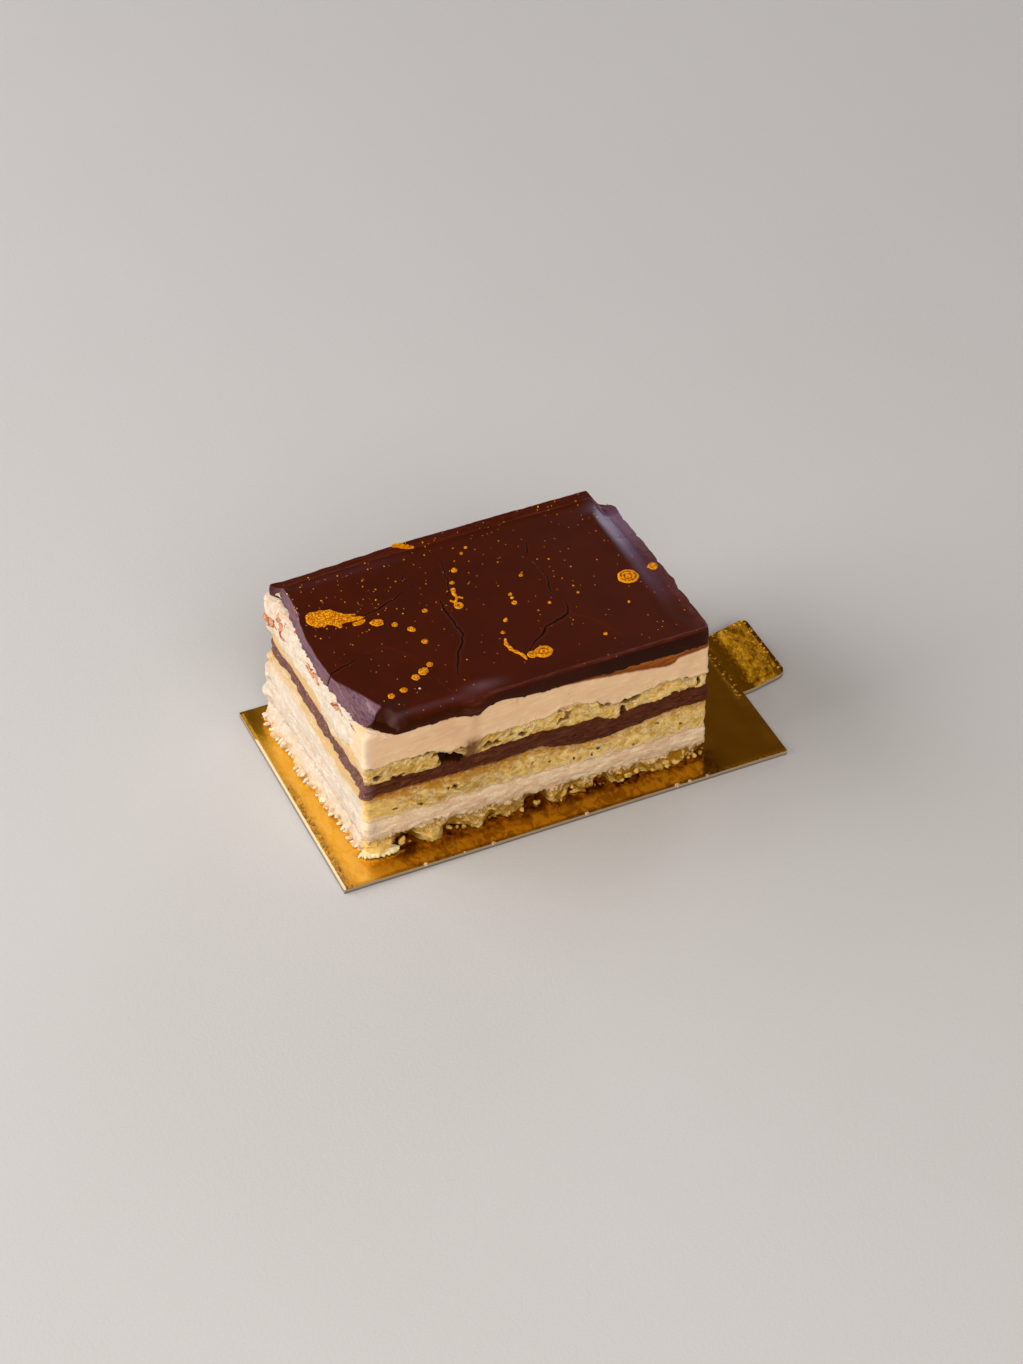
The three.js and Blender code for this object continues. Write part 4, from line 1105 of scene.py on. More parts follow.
def build_layer(name, material, sizes):
    """A layer as a closed drum, whose side says how far each point of the wall stands out."""
    node, lower, upper, rows, side = LAYERS[name]
    knots = outline(SQUARE_CORNERS)
    girth = np.hypot(*np.diff(knots[:, :2], axis=0).T).sum()
    bm = drum(int(girth / (sizes.wall_step / MM)), rows + 2)
    flat = points_of(bm)
    row = np.rint(flat[:, 2])
    turn = (np.arctan2(flat[:, 1], flat[:, 0]) / (2 * math.pi)) % 1.0
    wall = Wall(turn, unit((row - 1) / rows), SQUARE_CORNERS)
    low, high = lower(wall.x, wall.y), upper(wall.x, wall.y)
    wall.stand(low, high)
    wall.mark(up=wall.share * (high - low), down=(1 - wall.share) * (high - low))
    out = side(wall)
    cap_x, cap_y = moved_in(wall.x, wall.y, LEDGE)
    is_floor, is_roof = row == 0, row == rows + 2
    is_cap = is_floor | is_roof
    x = np.where(is_cap, cap_x, wall.x + wall.nx * out)
    y = np.where(is_cap, cap_y, wall.y + wall.ny * out)
    place_points(bm, x, y, np.where(is_floor, low.mean(), np.where(is_roof, high.mean(), wall.z)))
    return new_piece(name, bm, material, node.split("_")[0], (node,), wall.marks)


# ---------------------------------------------------------------- the glaze


def corner_distance(x, y):
    """How far inside the glaze's rounded outline each point lies."""
    left, right = x - SLICE_LEFT, SLICE_RIGHT - x
    front, back = y - SLICE_FRONT, SLICE_BACK - y
    distance = np.minimum(np.minimum(left, right), np.minimum(front, back))
    pairs = ((left, front), (right, front), (right, back), (left, back))
    for (across, depth), radius in zip(pairs, GLAZE_CORNERS):
        inside = (across < radius) & (depth < radius)
        rounded = radius - np.hypot(radius - across, radius - depth)
        distance = np.where(inside, rounded, distance)
    return np.clip(distance, 0.0, None)


class GlazeEdge:
    """The form of the glaze's edge at each point: how it stands out, slopes, rolls and lifts."""

    def __init__(self, x, y, distance):
        # how much each side rules a point, from how near it is
        sides = (x - SLICE_LEFT, SLICE_RIGHT - x, y - SLICE_FRONT, SLICE_BACK - y)
        weights = [np.exp(-np.clip(side - distance, 0.0, None) / 1.1) for side in sides]
        self.shares = left, right, front, back = [weight / sum(weights) for weight in weights]
        tip = smooth(SLICE_BACK - 1.8, SLICE_BACK - 0.4, y)
        corner = smooth(-8.0, -14.0, y) * smooth(-33.0, -37.0, x)
        lump = front * bell(x, -17.3, 2.0)
        lip = back * smooth(-42.0, -4.0, x) * smooth(29.2, 28.2, x)
        self.soft = smooth(-12.0, -15.5, x)
        self.left_cut = left * (1 - tip)
        self.stand = (
            0.12 - self.left_cut * along(LEFT_SET_BACK, y) + 0.15 * right + 0.3 * tip * left
            - 1.0 * corner + 0.4 * lip + 0.6 * lump - right * self.nicks(y)
        )
        self.slope = (
            self.left_cut * along(LEFT_SLOPE, y) + front * (0.25 + 0.6 * self.soft)
            + 0.2 * right + 0.25 * back
        )
        self.power = mix(2.0, 1.15, self.left_cut)
        self.front_drop = front * (0.12 + 0.85 * self.soft)
        self.front_roll = 0.55 + 2.5 * self.soft
        self.right_drop = right * along(RIGHT_DROP, y)
        self.lip = 0.95 * lip
        self.dent = 0.75 * lump
        size = np.maximum(np.hypot(right - left, back - front), 1e-6)
        self.out_x, self.out_y = (right - left) / size, (back - front) / size

    @staticmethod
    def nicks(y):
        """Small chips in the right edge."""
        return sum(depth * bell(y, place, half_width) for place, half_width, depth in RIGHT_NICKS)


def cut_corner(x, y):
    """How the knife's slanting cut lowers the near left corner.

    Gives the fall, how far outside the cut a point is, and how far beyond its ridge.
    """
    outside = FACET_NORMAL[0] * (x - FACET_START[0]) + FACET_NORMAL[1] * (y - FACET_START[1])
    outside = np.clip(outside, 0.0, None)
    beyond = RIDGE_NORMAL[0] * (x - RIDGE_START[0]) + RIDGE_NORMAL[1] * (y - RIDGE_START[1])
    past = np.clip(beyond, 0.0, None) * smooth(-32.5, -34.5, x)
    return 0.43 * outside + 0.42 * past, outside, beyond


def glaze_top_height(x, y, distance, edge):
    """The height of the glaze's top: flat, with its rolls, its lip and its faint unevenness."""
    _, right, front, back = edge.shares
    front_fall = edge.front_drop * unit(1 - distance / (edge.front_roll * 1.25)) ** 2
    rolled = 0.78 * smooth(6.2, 2.4, distance) + 0.09 * np.clip(3 - distance, 0, None)
    lip = edge.lip * unit(1 - distance / 1.7) ** 1.4
    seam = 0.12 * back * (bell(distance, 1.55, 0.22) - smooth(4.5, 2.2, distance))
    bead = 0.14 * front * (1 - edge.soft) * bell(distance, 0.35, 0.3)
    dent = edge.dent * unit(1 - distance / 2.6)
    flat = level_points(x, y)
    uneven = 0.035 * ripple(flat, 11.0, 71) + 0.012 * ripple(flat, 3.5, 72)
    wrinkled = right * smooth(3.2, 1.0, distance) + back * smooth(1.6, 0.8, distance)
    uneven = uneven + 0.025 * wrinkled * rough(flat, 1.1, 80, 2)
    fall = front_fall + edge.right_drop * rolled + cut_corner(x, y)[0] + dent
    return GLAZE_TOP - fall + lip + seam + bead + uneven


def crack_marks(x, y):
    """The depth of the cracks at each point, and the painted highlight along their rims."""
    flat = level_points(x, y)
    wander_x = x + 0.22 * ripple(flat, 1.3, 73) + 0.08 * ripple(flat, 0.5, 74)
    wander_y = y + 0.22 * ripple(flat, 1.3, 75)
    crack = np.zeros_like(x)
    rim = np.zeros_like(x)
    for half_width, route in CRACKS:
        away, share = distance_to(route, wander_x, wander_y)
        if half_width < FAINT_CRACK:
            rim = np.maximum(rim, 0.9 * bell(away, 0.0, 0.2))
            continue
        width = half_width * (0.35 + 0.6 * np.sin(np.pi * np.clip(share, 0.02, 0.98)) ** 0.6)
        strength = min(1.0, half_width / 0.13)
        crack = np.maximum(crack, strength * unit(1.3 - away / width))
        rim = np.maximum(rim, strength * bell(away, width * 1.6, width * 1.4))
    return crack, rim * (1 - crack)


def fit_to_outline(grid):
    """The places of a square grid's points, spread over the glaze and crowded towards its edge."""
    crowd = 0.82 * math.pi / 2
    half = np.array((SLICE_LENGTH, SLICE_DEPTH)) / 2
    middle = np.array((MIDDLE_X, MIDDLE_Y))
    place = middle + np.sin(grid[:, :2] * crowd) / math.sin(crowd) * half
    for sign, radius in zip(((-1, -1), (1, -1), (1, 1), (-1, 1)), GLAZE_CORNERS):
        centre = middle + np.array(sign) * (half - radius)
        offset = unit((place - centre) / radius * sign)
        inside = (offset > 0).all(axis=1)
        rounded = offset * np.sqrt(1 - offset[:, ::-1] ** 2 / 2)
        place = np.where(inside[:, None], centre + rounded * radius * sign, place)
    return place


def glaze_mesh():
    """A grid fitted to the glaze's outline, finer beside the cracks, with a wall below its rim."""
    bm = bmesh.new()
    bmesh.ops.create_grid(bm, x_segments=GLAZE_GRID[0], y_segments=GLAZE_GRID[1], size=1.0)
    x, y = fit_to_outline(points_of(bm)).T
    place_points(bm, x, y, np.zeros_like(x))
    deep = [route for half_width, route in CRACKS if half_width > FAINT_CRACK]
    near = np.min([distance_to(route, x, y)[0] for route in deep], axis=0)
    bm.verts.index_update()
    fine = [edge for edge in bm.edges if all(near[vert.index] < 0.65 for vert in edge.verts)]
    bmesh.ops.subdivide_edges(bm, edges=fine, cuts=2, use_grid_fill=True)
    rim = [edge for edge in bm.edges if edge.is_boundary]
    bmesh.ops.contextual_create(bm, geom=grow_rows(bm, rim, GLAZE_ROWS + 1, (0.0, 0.0, -1.0)))
    bmesh.ops.recalc_face_normals(bm, faces=bm.faces[:])
    return bm


def build_glaze(material, sizes):
    """Shapes the glaze's edge, its rolls and its cracks, and marks each finish on it."""
    bm = glaze_mesh()
    x, y, row = points_of(bm).T
    row = np.rint(-row)
    level = level_points(x, y)
    distance = corner_distance(x, y)
    edge = GlazeEdge(x, y, distance)
    low = boundary(5)(x, y) + 0.02
    crack, crack_highlight_mask = crack_marks(x, y)
    top = np.maximum(glaze_top_height(x, y, distance, edge), low + 0.35)
    share = unit(1 - row / GLAZE_ROWS)
    on_top, on_side = row == 0, row > 0
    bulge = 0.12 * np.sin(np.pi * share) * (1 - edge.left_cut) * on_side
    ragged = smooth(0.3, 0.0, share) * edge.left_cut * 0.35 * ripple(level, 0.6, 78)
    shift = edge.stand - edge.slope * share**edge.power + bulge + ragged
    shift = shift + 0.1 * ripple(level, 2.2, 76) + 0.06 * ripple(level, 0.7, 77)
    shift = shift * (1 - smooth(0.0, 6.0, distance))
    z = mix(low, top, share) - sizes.crack_depth / MM * crack * (share > 0.2)
    z = z - 0.25 * smooth(0.35, 0.0, share) * (ripple(level, 0.8, 79) > 0.35) * on_side
    chip = (SLICE_BACK - along(BACK_CHIP, x)) * smooth(SLICE_BACK - 9.0, SLICE_BACK, y)
    is_floor = row == GLAZE_ROWS + 1
    floor_x, floor_y = moved_in(x, y, LEDGE)
    place_points(
        bm,
        np.where(is_floor, floor_x, x + edge.out_x * shift),
        np.where(is_floor, floor_y, y + edge.out_y * shift - chip),
        np.where(is_floor, low.mean(), z),
    )

    left, right, front, back = edge.shares
    _, outside, beyond = cut_corner(x, y)
    facet = smooth(0.05, 0.35, outside) * on_top
    cut = unit(edge.left_cut * on_side + facet) * smooth(0.25, -0.05, beyond)
    # the near corner beyond the cut is darkened as well: painted shade
    near_corner = smooth(-28.5, -31.0, x) * smooth(-13.5, -16.0, y) * (1 - cut)
    # painted lavender sheen on the cut edge, over the cut's paler matte, and on the rolls
    roll = bell(x, -14.5, 3.5) * bell(distance, 2.8, 1.3)
    roll = roll + 0.5 * smooth(-16, -20, x) * bell(distance, 1.6, 0.8)
    edge_sheen = 0.95 * cut * np.where(on_top, 1.0, smooth(0.03, 0.1, share))
    edge_sheen = edge_sheen + 0.4 * front * roll * on_top * smooth(-0.5, 0.5, x + 34)
    edge_sheen = edge_sheen + 0.45 * right * on_top * smooth(2.8, 1.6, distance) * smooth(4.0, 16.0, y)
    # painted cool sheen along the right end
    peak = smooth(6.2, 4.4, distance) * mix(0.45, 1.0, smooth(1.2, 3.2, distance))
    sheen = right * peak * mix(0.3, 1.0, smooth(2.0, 18.0, y)) * smooth(-13.0, 0.0, y)
    sheen = sheen + 0.08 * back * bell(distance, 3.0, 1.0) * smooth(-10.0, -18.0, x)
    sheen = sheen + 0.4 * right * smooth(2.6, 1.4, distance) * smooth(8.0, 16.0, y)
    # the thin red edges: thin glaze, with a painted reddish highlight along the ridges
    ridge = front * (1 - edge.soft) * bell(distance, 0.3, 0.28) * on_top
    ridge = ridge + 0.55 * front * bell(x, -17.3, 2.2) * smooth(2.2, 0.4, distance)
    ridge = ridge + 0.3 * back * smooth(1.7, 1.3, distance) + 0.7 * back * bell(distance, 1.55, 0.15)
    ridge = ridge + 0.45 * right * smooth(2.6, 1.2, distance)
    ridge = ridge + 0.5 * bell(beyond, 0.05, 0.22) * smooth(0.2, 0.8, outside)
    nicked = edge.left_cut * smooth(0.35, 0.0, distance) * smooth(0.85, 1.0, share)
    marks = {
        "crack": crack,
        "crack_highlight": crack_highlight_mask,
        "cut": cut,
        "edge_sheen": unit(edge_sheen),
        "sheen": unit(0.55 * sheen * on_top),
        "ridge": unit(ridge),
        "face": unit((1 - left) * on_side * smooth(1.02, 0.9, share) + near_corner),
        "matt": np.maximum(on_side, near_corner),
        "shadow": front * on_side * smooth(3.0, 12.0, x),
        "nicked": nicked * smooth(10.0, 16.0, y),
    }
    return new_piece("glaze_coat", bm, material, "glaze", ("glaze",), marks)


# ---------------------------------------------------------------- gold, crumbs, beads

GOLD_MARKS = ("reach", "coil", "lace", "rim", "ring")
# The side of a drop from its foot to its middle: (share of the radius, share of the height).
DROP_PROFILE = (
    (0.97, -0.3), (1.0, 0.0), (0.96, 0.6), (0.87, 0.9), (0.74, 1.0), (0.6, 1.0), (0.45, 0.95),
    (0.3, 0.95), (0.12, 1.0),
)
FLAKE_PROFILE = (
    (0.5, 0.0), (0.9, 0.0), (1.0, 0.3), (0.96, 0.7), (0.8, 0.95), (0.5, 0.85), (0.2, 1.0),
)
SPECK_RADII = (0.1, 0.26)
# Clusters of torn shards: (x, y, z, how many).
SHARD_CLUSTERS = (
    (-37.9, -18.6, 30.9, 3), (-37.0, -20.0, 30.8, 4), (-35.6, -20.9, 30.7, 4), (-39.0, 24.6, 31.8, 5),
    (-39.6, 22.8, 31.3, 4), (-39.8, -14.0, 30.6, 3), (-40.4, 1.5, 30.6, 3),
)
# Syrup beads along the card's front edge: (x, radius).
SYRUP_BEADS = (
    (-30.6, 0.5), (-16.4, 0.45), (3.6, 0.5), (23.2, 0.6), (26.0, 0.45), (29.8, 0.4), (-22.5, 0.3),
)


def lay_on_glaze(bm):
    """Lifts a mesh that was made flat on to the glaze's top."""
    x, y, z = points_of(bm).T
    distance = corner_distance(x, y)
    place_points(bm, x, y, z + glaze_top_height(x, y, distance, GlazeEdge(x, y, distance)))


def add_blob(bm, profile, segments, place, names):
    """A small closed form: rings of (reach, height), each point put and marked by place."""
    layers = [bm.verts.layers.float.get(name) or bm.verts.layers.float.new(name) for name in names]
    made = bmesh.ops.create_circle(bm, cap_ends=False, radius=1.0, segments=segments)["verts"]
    first = ring = list({edge for vert in made for edge in vert.link_edges})
    rings = [made]
    for _ in profile[1:]:
        ring, verts = sorted_out(bmesh.ops.extrude_edge_only(bm, edges=ring)["geom"])
        rings.append(verts)
    bmesh.ops.contextual_create(bm, geom=first)
    bmesh.ops.contextual_create(bm, geom=ring)
    for verts, (reach, height) in zip(rings, profile):
        for vert in verts:
            position, values = place(math.atan2(vert.co.y, vert.co.x), reach, height)
            vert.co = position
            for layer, value in zip(layers, values):
                vert[layer] = value


def squared(angle, push):
    """The sine of an angle, pushed towards its ends, so a long blob keeps its width."""
    side = math.sin(angle)
    return math.copysign(min(1.0, abs(side) * push), side)


def add_drop(bm, draw, drop, height, coil):
    """One drop of gold: a low dome with an uneven outline."""
    x, y, radius, stretch, heading = drop
    turn = math.radians(heading)
    wave = 0.05 - 0.025 * coil
    phases = [(k, draw.uniform(0, 2 * math.pi), draw.uniform(0.3, 1.0) * wave) for k in (2, 3, 5, 7)]

    def place(angle, reach, rise):
        spread = 1 + sum(size * math.sin(k * angle + phase) for k, phase, size in phases)
        u = radius * reach * spread * math.cos(angle) * math.sqrt(stretch)
        v = radius * reach * spread * math.sin(angle) / math.sqrt(stretch)
        px = x + u * math.cos(turn) - v * math.sin(turn)
        py = y + u * math.sin(turn) + v * math.cos(turn)
        ring = (1 - coil) * math.exp(-(((reach - 0.7) / 0.12) ** 2))
        values = (reach * radius, coil, 0.35 * (1 - coil), float(reach > 0.86), ring)
        return (px, py, rise * height), values

    add_blob(bm, DROP_PROFILE, 40, place, GOLD_MARKS)


def add_trail(bm, draw, route, height):
    """A trail of gold that follows a route, as one long blob whose half width changes."""
    phases = [(k, draw.uniform(0, 2 * math.pi)) for k in (5, 9, 16, 23)]
    lengths = [math.dist(a[:2], b[:2]) for a, b in zip(route, route[1:])]
    shares = np.concatenate(([0.0], np.cumsum(lengths))) / sum(lengths)

    def at(share, k):
        return float(np.interp(share, shares, [point[k] for point in route]))

    def place(angle, reach, rise):
        share = 0.5 - 0.5 * math.cos(angle)
        x, y, width = (at(share, k) for k in range(3))
        dx, dy = (at(share + 0.04, k) - at(share - 0.04, k) for k in range(2))
        size = math.hypot(dx, dy)
        wobble = 1 + 0.06 * sum(math.sin(k * angle + phase) for k, phase in phases)
        across = width * wobble * reach * squared(angle, 2.2)
        cap = -0.8 * width * math.cos(angle) * reach * max(0.0, abs(math.cos(angle)) - 0.6) / 0.4
        px = x - dy / size * across + dx / size * cap
        py = y + dx / size * across + dy / size * cap
        values = (reach * width, 0.0, min(1.0, width), float(reach > 0.92), 0.0)
        return (px, py, rise * height), values

    add_blob(bm, DROP_PROFILE, 72, place, GOLD_MARKS)


def build_gold(material, sizes):
    """The drops and trails of gold, each where it lies on the glaze."""
    bm = bmesh.new()
    draw = random.Random(5)
    height = sizes.drop_height / MM
    for drops, coil in ((GOLD_DROPS, 0.0), (COILED_DROPS, 1.0)):
        for drop in drops:
            add_drop(bm, draw, drop, height, coil)
    for route in GOLD_TRAILS:
        add_trail(bm, draw, route, height)
    bmesh.ops.recalc_face_normals(bm, faces=bm.faces[:])
    lay_on_glaze(bm)
    return new_piece("gold_drops", bm, material, "glaze", ("glaze",))


def speck_crowd(x, y):
    """How likely a speck is to lie at a place: more of them at the back and on the left."""
    to_back = smooth(-16.0, 26.0, y)
    return 0.08 + 0.5 * to_back**2 + 0.45 * smooth(20.0, -38.0, x) * smooth(-4.0, 12.0, y)


def build_specks(material, count):
    """Spatter on the glaze: tiny flattened beads, more of them where it is crowded."""
    bm = bmesh.new()
    draw = random.Random(21)
    made = 0
    while made < count:
        x = draw.uniform(SLICE_LEFT + 1.6, SLICE_RIGHT - 0.6)
        y = draw.uniform(SLICE_FRONT + 1.0, SLICE_BACK + 0.2)
        if draw.random() > speck_crowd(x, y):
            continue
        radius = mix(*SPECK_RADII, draw.random() ** 3)
        turn = Matrix.Rotation(draw.uniform(0, math.pi), 4, "Z")
        squeeze = Matrix.Diagonal((radius, radius * draw.uniform(0.75, 1.0), radius * 0.4, 1.0))
        place = Matrix.Translation((x, y, 0.02))
        bmesh.ops.create_icosphere(bm, subdivisions=1, radius=1.0, matrix=place @ turn @ squeeze)
        made += 1
    lay_on_glaze(bm)
    return new_piece("gold_specks", bm, material, "glaze", ("glaze",))


def add_crumb(bm, draw, centre, sizes, heading, tone, roughness=0.4):
    """One crumb: an icosphere pulled out of shape, with its tone marked."""
    tone_layer = bm.verts.layers.float["tone"]
    turn = Matrix.Rotation(heading, 4, "Z") @ Matrix.Rotation(draw.uniform(-0.5, 0.5), 4, "Y")
    size = Matrix.Diagonal((*sizes, 1.0))
    made = bmesh.ops.create_icosphere(bm, subdivisions=2, radius=1.0, matrix=turn @ size)["verts"]
    seed = draw.randrange(10000)
    local = np.array([vert.co for vert in made])
    shove = 1 + roughness * rough(local / min(sizes), 1.3, seed, 2)
    for vert, factor in zip(made, shove):
        vert.co = vert.co * factor + Vector(centre)
        vert[tone_layer] = tone


def add_flake(bm):
    """The pale plate of torn sponge that lies at the near corner, with a saw-toothed edge."""

    def place(angle, reach, rise):
        share = 0.5 - 0.5 * math.cos(angle)
        x, y = mix(-41.2, -33.6, share), mix(-20.6, -21.7, share)
        width = 1.15 * math.sqrt(max(0.0, math.sin(math.pi * min(1.0, share * 0.86 + 0.1))))
        teeth = 1 + 0.3 * abs(math.sin(9 * angle + 0.7)) + 0.15 * math.sin(23 * angle + 2.1)
        across = width * teeth * reach * squared(angle, 1.8)
        lift = 0.12 * math.sin(2.1 * x) + 0.1 * math.sin(5.3 * x + 3 * y)
        height = CARD_THICKNESS + 0.05 + (rise + lift * (rise > 0.3)) * 0.85
        return (x + 0.15 * across, y + across, height), (0.42,)

    add_blob(bm, FLAKE_PROFILE, 96, place, ("tone",))


def build_crumbs(material, settings):
    """Crumbs on the card along the foot, and a fringe of them that clings to the torn left end."""
    bm = bmesh.new()
    bm.verts.layers.float.new("tone")
    draw = random.Random(8)
    for _ in range(settings.crumb_count):
        x = draw.uniform(-33, 32)
        reach = max(0.1, float(along(FOOT_FRONT, x)))
        size = draw.uniform(0.2, 0.5)
        y = SLICE_FRONT - reach * draw.uniform(0.4, 1.0) - abs(draw.gauss(0, 0.22))
        sizes = (size * draw.uniform(0.9, 1.8), size, size * draw.uniform(0.6, 1.0))
        height = CARD_THICKNESS + size * 0.45 + draw.random() ** 4 * 1.3
        heading = draw.uniform(0, 6.28)
        add_crumb(bm, draw, (x, y, height), sizes, heading, draw.uniform(0.5, 1.0))
    for k in range(settings.petal_count):
        y = -19.8 + 46.0 * k / settings.petal_count + draw.gauss(0, 0.35)
        lean = LEFT_SKEW * (y - SLICE_FRONT) / SLICE_DEPTH
        low = (0.0, 0.1, 0.03)[k % 3] * draw.uniform(0.6, 1.4)
        size = draw.uniform(0.35, 0.5)
        reach = float(along(FOOT_LEFT, y)) * (1 - low) + 0.35
        x = SLICE_LEFT - lean - reach - draw.uniform(0.0, 0.3)
        sizes = (size * draw.uniform(1.8, 2.6), size * draw.uniform(0.8, 1.15), size * 0.6)
        centre = (x, y, CARD_THICKNESS + 0.35 + low * 7.5)
        heading = draw.uniform(2.9, 3.7)
        add_crumb(bm, draw, centre, sizes, heading, draw.uniform(0.0, 0.1), 0.22)
    add_flake(bm)
    bmesh.ops.recalc_face_normals(bm, faces=bm.faces[:])
    return new_piece("crumbs", bm, material, "sponge", ())


def build_shards(material):
    """Thin shards of cream lifted by the knife at the glaze's near and far left corners."""
    bm = bmesh.new()
    bm.verts.layers.float.new("tone")
    draw = random.Random(12)
    for x, y, z, count in SHARD_CLUSTERS:
        for _ in range(count):
            centre = (x + draw.gauss(0, 0.35), y + draw.gauss(0, 0.4), z + draw.gauss(0, 0.25))
            sizes = (draw.uniform(0.35, 0.8), draw.uniform(0.1, 0.18), draw.uniform(0.07, 0.12))
            add_crumb(bm, draw, centre, sizes, draw.gauss(-0.7, 0.5), draw.uniform(0.0, 0.08))
    add_crumb(bm, draw, (-25.6, -13.9, 33.3), (0.24, 0.24, 0.16), 0.0, 0.0, 0.1)
    return new_piece("cream_shards", bm, material, "buttercream", ())


def build_beads(material):
    """Beads of syrup on the card's front edge."""
    bm = bmesh.new()
    for x, size in SYRUP_BEADS:
        place = Matrix.Translation((x, CARD_FRONT + 0.15, CARD_THICKNESS * 0.75))
        squeeze = Matrix.Diagonal((size, size * 0.75, size * 0.9, 1.0))
        bmesh.ops.create_icosphere(bm, subdivisions=3, radius=1.0, matrix=place @ squeeze)
    return new_piece("syrup_beads", bm, material, "buttercream", ())


# ---------------------------------------------------------------- the card

TAB_HALF = TAB_WIDTH / 2
TAB_COLUMNS = 0.2  # the grid's last columns make the tab
RIM_ANGLE = math.radians(50)


def card_mesh():
    """The card and its tab from one grid, cut to shape and given the thickness of its board."""
    bm = bmesh.new()
    bmesh.ops.create_grid(bm, x_segments=CARD_GRID[0], y_segments=CARD_GRID[1], size=1.0)
    u, v, _ = points_of(bm).T
    on_card = mix(CARD_LEFT, CARD_RIGHT, (u + 1) / (2 - TAB_COLUMNS))
    on_tab = mix(CARD_RIGHT, TAB_END, (u - 1 + TAB_COLUMNS) / TAB_COLUMNS)
    x = np.where(u < 1 - TAB_COLUMNS, on_card, on_tab)
    place_points(bm, x, mix(CARD_FRONT, CARD_BACK, (v + 1) / 2), np.zeros_like(x))
    low_y, high_y = TAB_CENTRE_Y - TAB_HALF, TAB_CENTRE_Y + TAB_HALF
    cuts = (((CARD_RIGHT, 0, 0), (1, 0, 0)), ((0, low_y, 0), (0, 1, 0)), ((0, high_y, 0), (0, 1, 0)))
    for point, normal in cuts:
        geom = bm.verts[:] + bm.edges[:] + bm.faces[:]
        bmesh.ops.bisect_plane(bm, geom=geom, plane_co=point, plane_no=normal, dist=1e-5)
    middles = [(face, face.calc_center_median()) for face in bm.faces]
    outside = [face for face, at in middles if at.x > CARD_RIGHT and not low_y < at.y < high_y]
    bmesh.ops.delete(bm, geom=outside, context="FACES")
    _, top = sorted_out(bmesh.ops.extrude_face_region(bm, geom=bm.faces[:])["geom"])
    bmesh.ops.translate(bm, vec=(0, 0, CARD_THICKNESS), verts=top)
    bmesh.ops.recalc_face_normals(bm, faces=bm.faces[:])
    return bm


def tab_lift(run):
    """How far the tab rises at a distance beyond the card: bent over a third of its length."""
    length = TAB_END - CARD_RIGHT
    bend = length / 3
    slope = TAB_RISE / (length - bend / 2)
    return np.where(run < bend, slope * run * run / (2 * bend), slope * (run - bend / 2))


def build_card(material, sizes):
    """The card with its tab bent up and its foil crumpled, marked for its finish."""
    bm = card_mesh()
    x, y, z = points_of(bm).T
    depth = 1 - z / CARD_THICKNESS
    run = np.clip(x - CARD_RIGHT, 0.0, None)
    reach = np.clip(x - (TAB_END - TAB_CORNER), 0.0, TAB_CORNER)
    narrowing = TAB_CORNER - np.sqrt(np.clip(TAB_CORNER**2 - reach**2, 0.0, None))
    off = y - TAB_CENTRE_Y
    narrowing = narrowing * smooth(TAB_HALF - 3, TAB_HALF, np.abs(off))
    y = np.where(run > 0, TAB_CENTRE_Y + off * (TAB_HALF - narrowing) / TAB_HALF, y)
    flat = level_points(x, y)
    to_ends = np.minimum(x - CARD_LEFT, TAB_END - x)
    to_edge = np.minimum(to_ends, np.minimum(y - CARD_FRONT, CARD_BACK - y))
    relief = sizes.foil_crease / MM * (rough(flat, 5.5, 81, 2) + 0.6 * ripple(flat, 1.4, 82))
    relief = relief * smooth(0.0, 1.5, to_edge) * (1 - 0.9 * smooth(0.0, 1.5, run))
    relief = relief - 0.12 * bell(x, 46.4, 0.35) * smooth(11.5, 8.5, np.abs(off))
    relief = relief - 0.09 * pores(flat + (0, 0, 0.4), 1.9, 83, 0.5, 0.25, 0.6) * (run > 0.5)
    relief = relief - 0.12 * (to_edge < 0.05)
    place_points(bm, x, y, z + tab_lift(run) + (depth < 0.5) * relief)

    rim = 0.9 * smooth(3.2, 0.6, x - CARD_LEFT) * smooth(8.0, 0.0, y)
    rim = rim + 0.35 * smooth(1.0, 0.2, y - CARD_FRONT)
    # painted shade: the foil in front of the slice, its far left corner and the tab darkened as dark
    # reflections
    shade = smooth(SLICE_FRONT + 1, SLICE_FRONT - 1, y) * smooth(-41.0, -33.0, x)
    shade = shade * (1 + 0.3 * bell(x, 11.0, 11.0)) * smooth(38.0, 31.0, x)
    shade = shade + 0.95 * smooth(5.0, 1.0, x - CARD_LEFT) * smooth(17.0, 24.0, y)
    # where the painted glints sparkle: the tab's edges, its crease and its far part
    tab_edge = np.maximum(smooth(2.2, 0.5, TAB_END - x), smooth(2.4, 0.6, TAB_HALF - off))
    creased = bell(x, 46.6, 0.8) * smooth(12.0, 9.0, np.abs(off))
    marks = {
        "depth": unit(depth),
        "lit": smooth(-38.5, -42.5, x) * mix(0.35, 1.0, smooth(22.0, 15.0, y)),
        "rim": unit(rim),
        "outer": unit(1 - (x - CARD_LEFT) / 3.0) * smooth(22.0, 18.0, y),
        "shade": np.clip(shade + 0.8 * smooth(1.0, 4.5, run), 0, 1.3),
        "glint": unit(tab_edge * (run > 0.3) + creased + 0.3 * smooth(0.5, 3.0, run)),
    }
    piece = new_piece("foil_card", bm, material, "gold_card", ("gold_card",), marks)
    piece.data.set_sharp_from_angle(angle=RIM_ANGLE)
    return piece


# ---------------------------------------------------------------- settings


def size_property(name, description, default):
    return FloatProperty(
        name=name, description=description, default=default, min=0.0, unit="LENGTH", precision=5
    )


def count_property(name, description, default):
    return IntProperty(name=name, description=description, default=default, min=0)


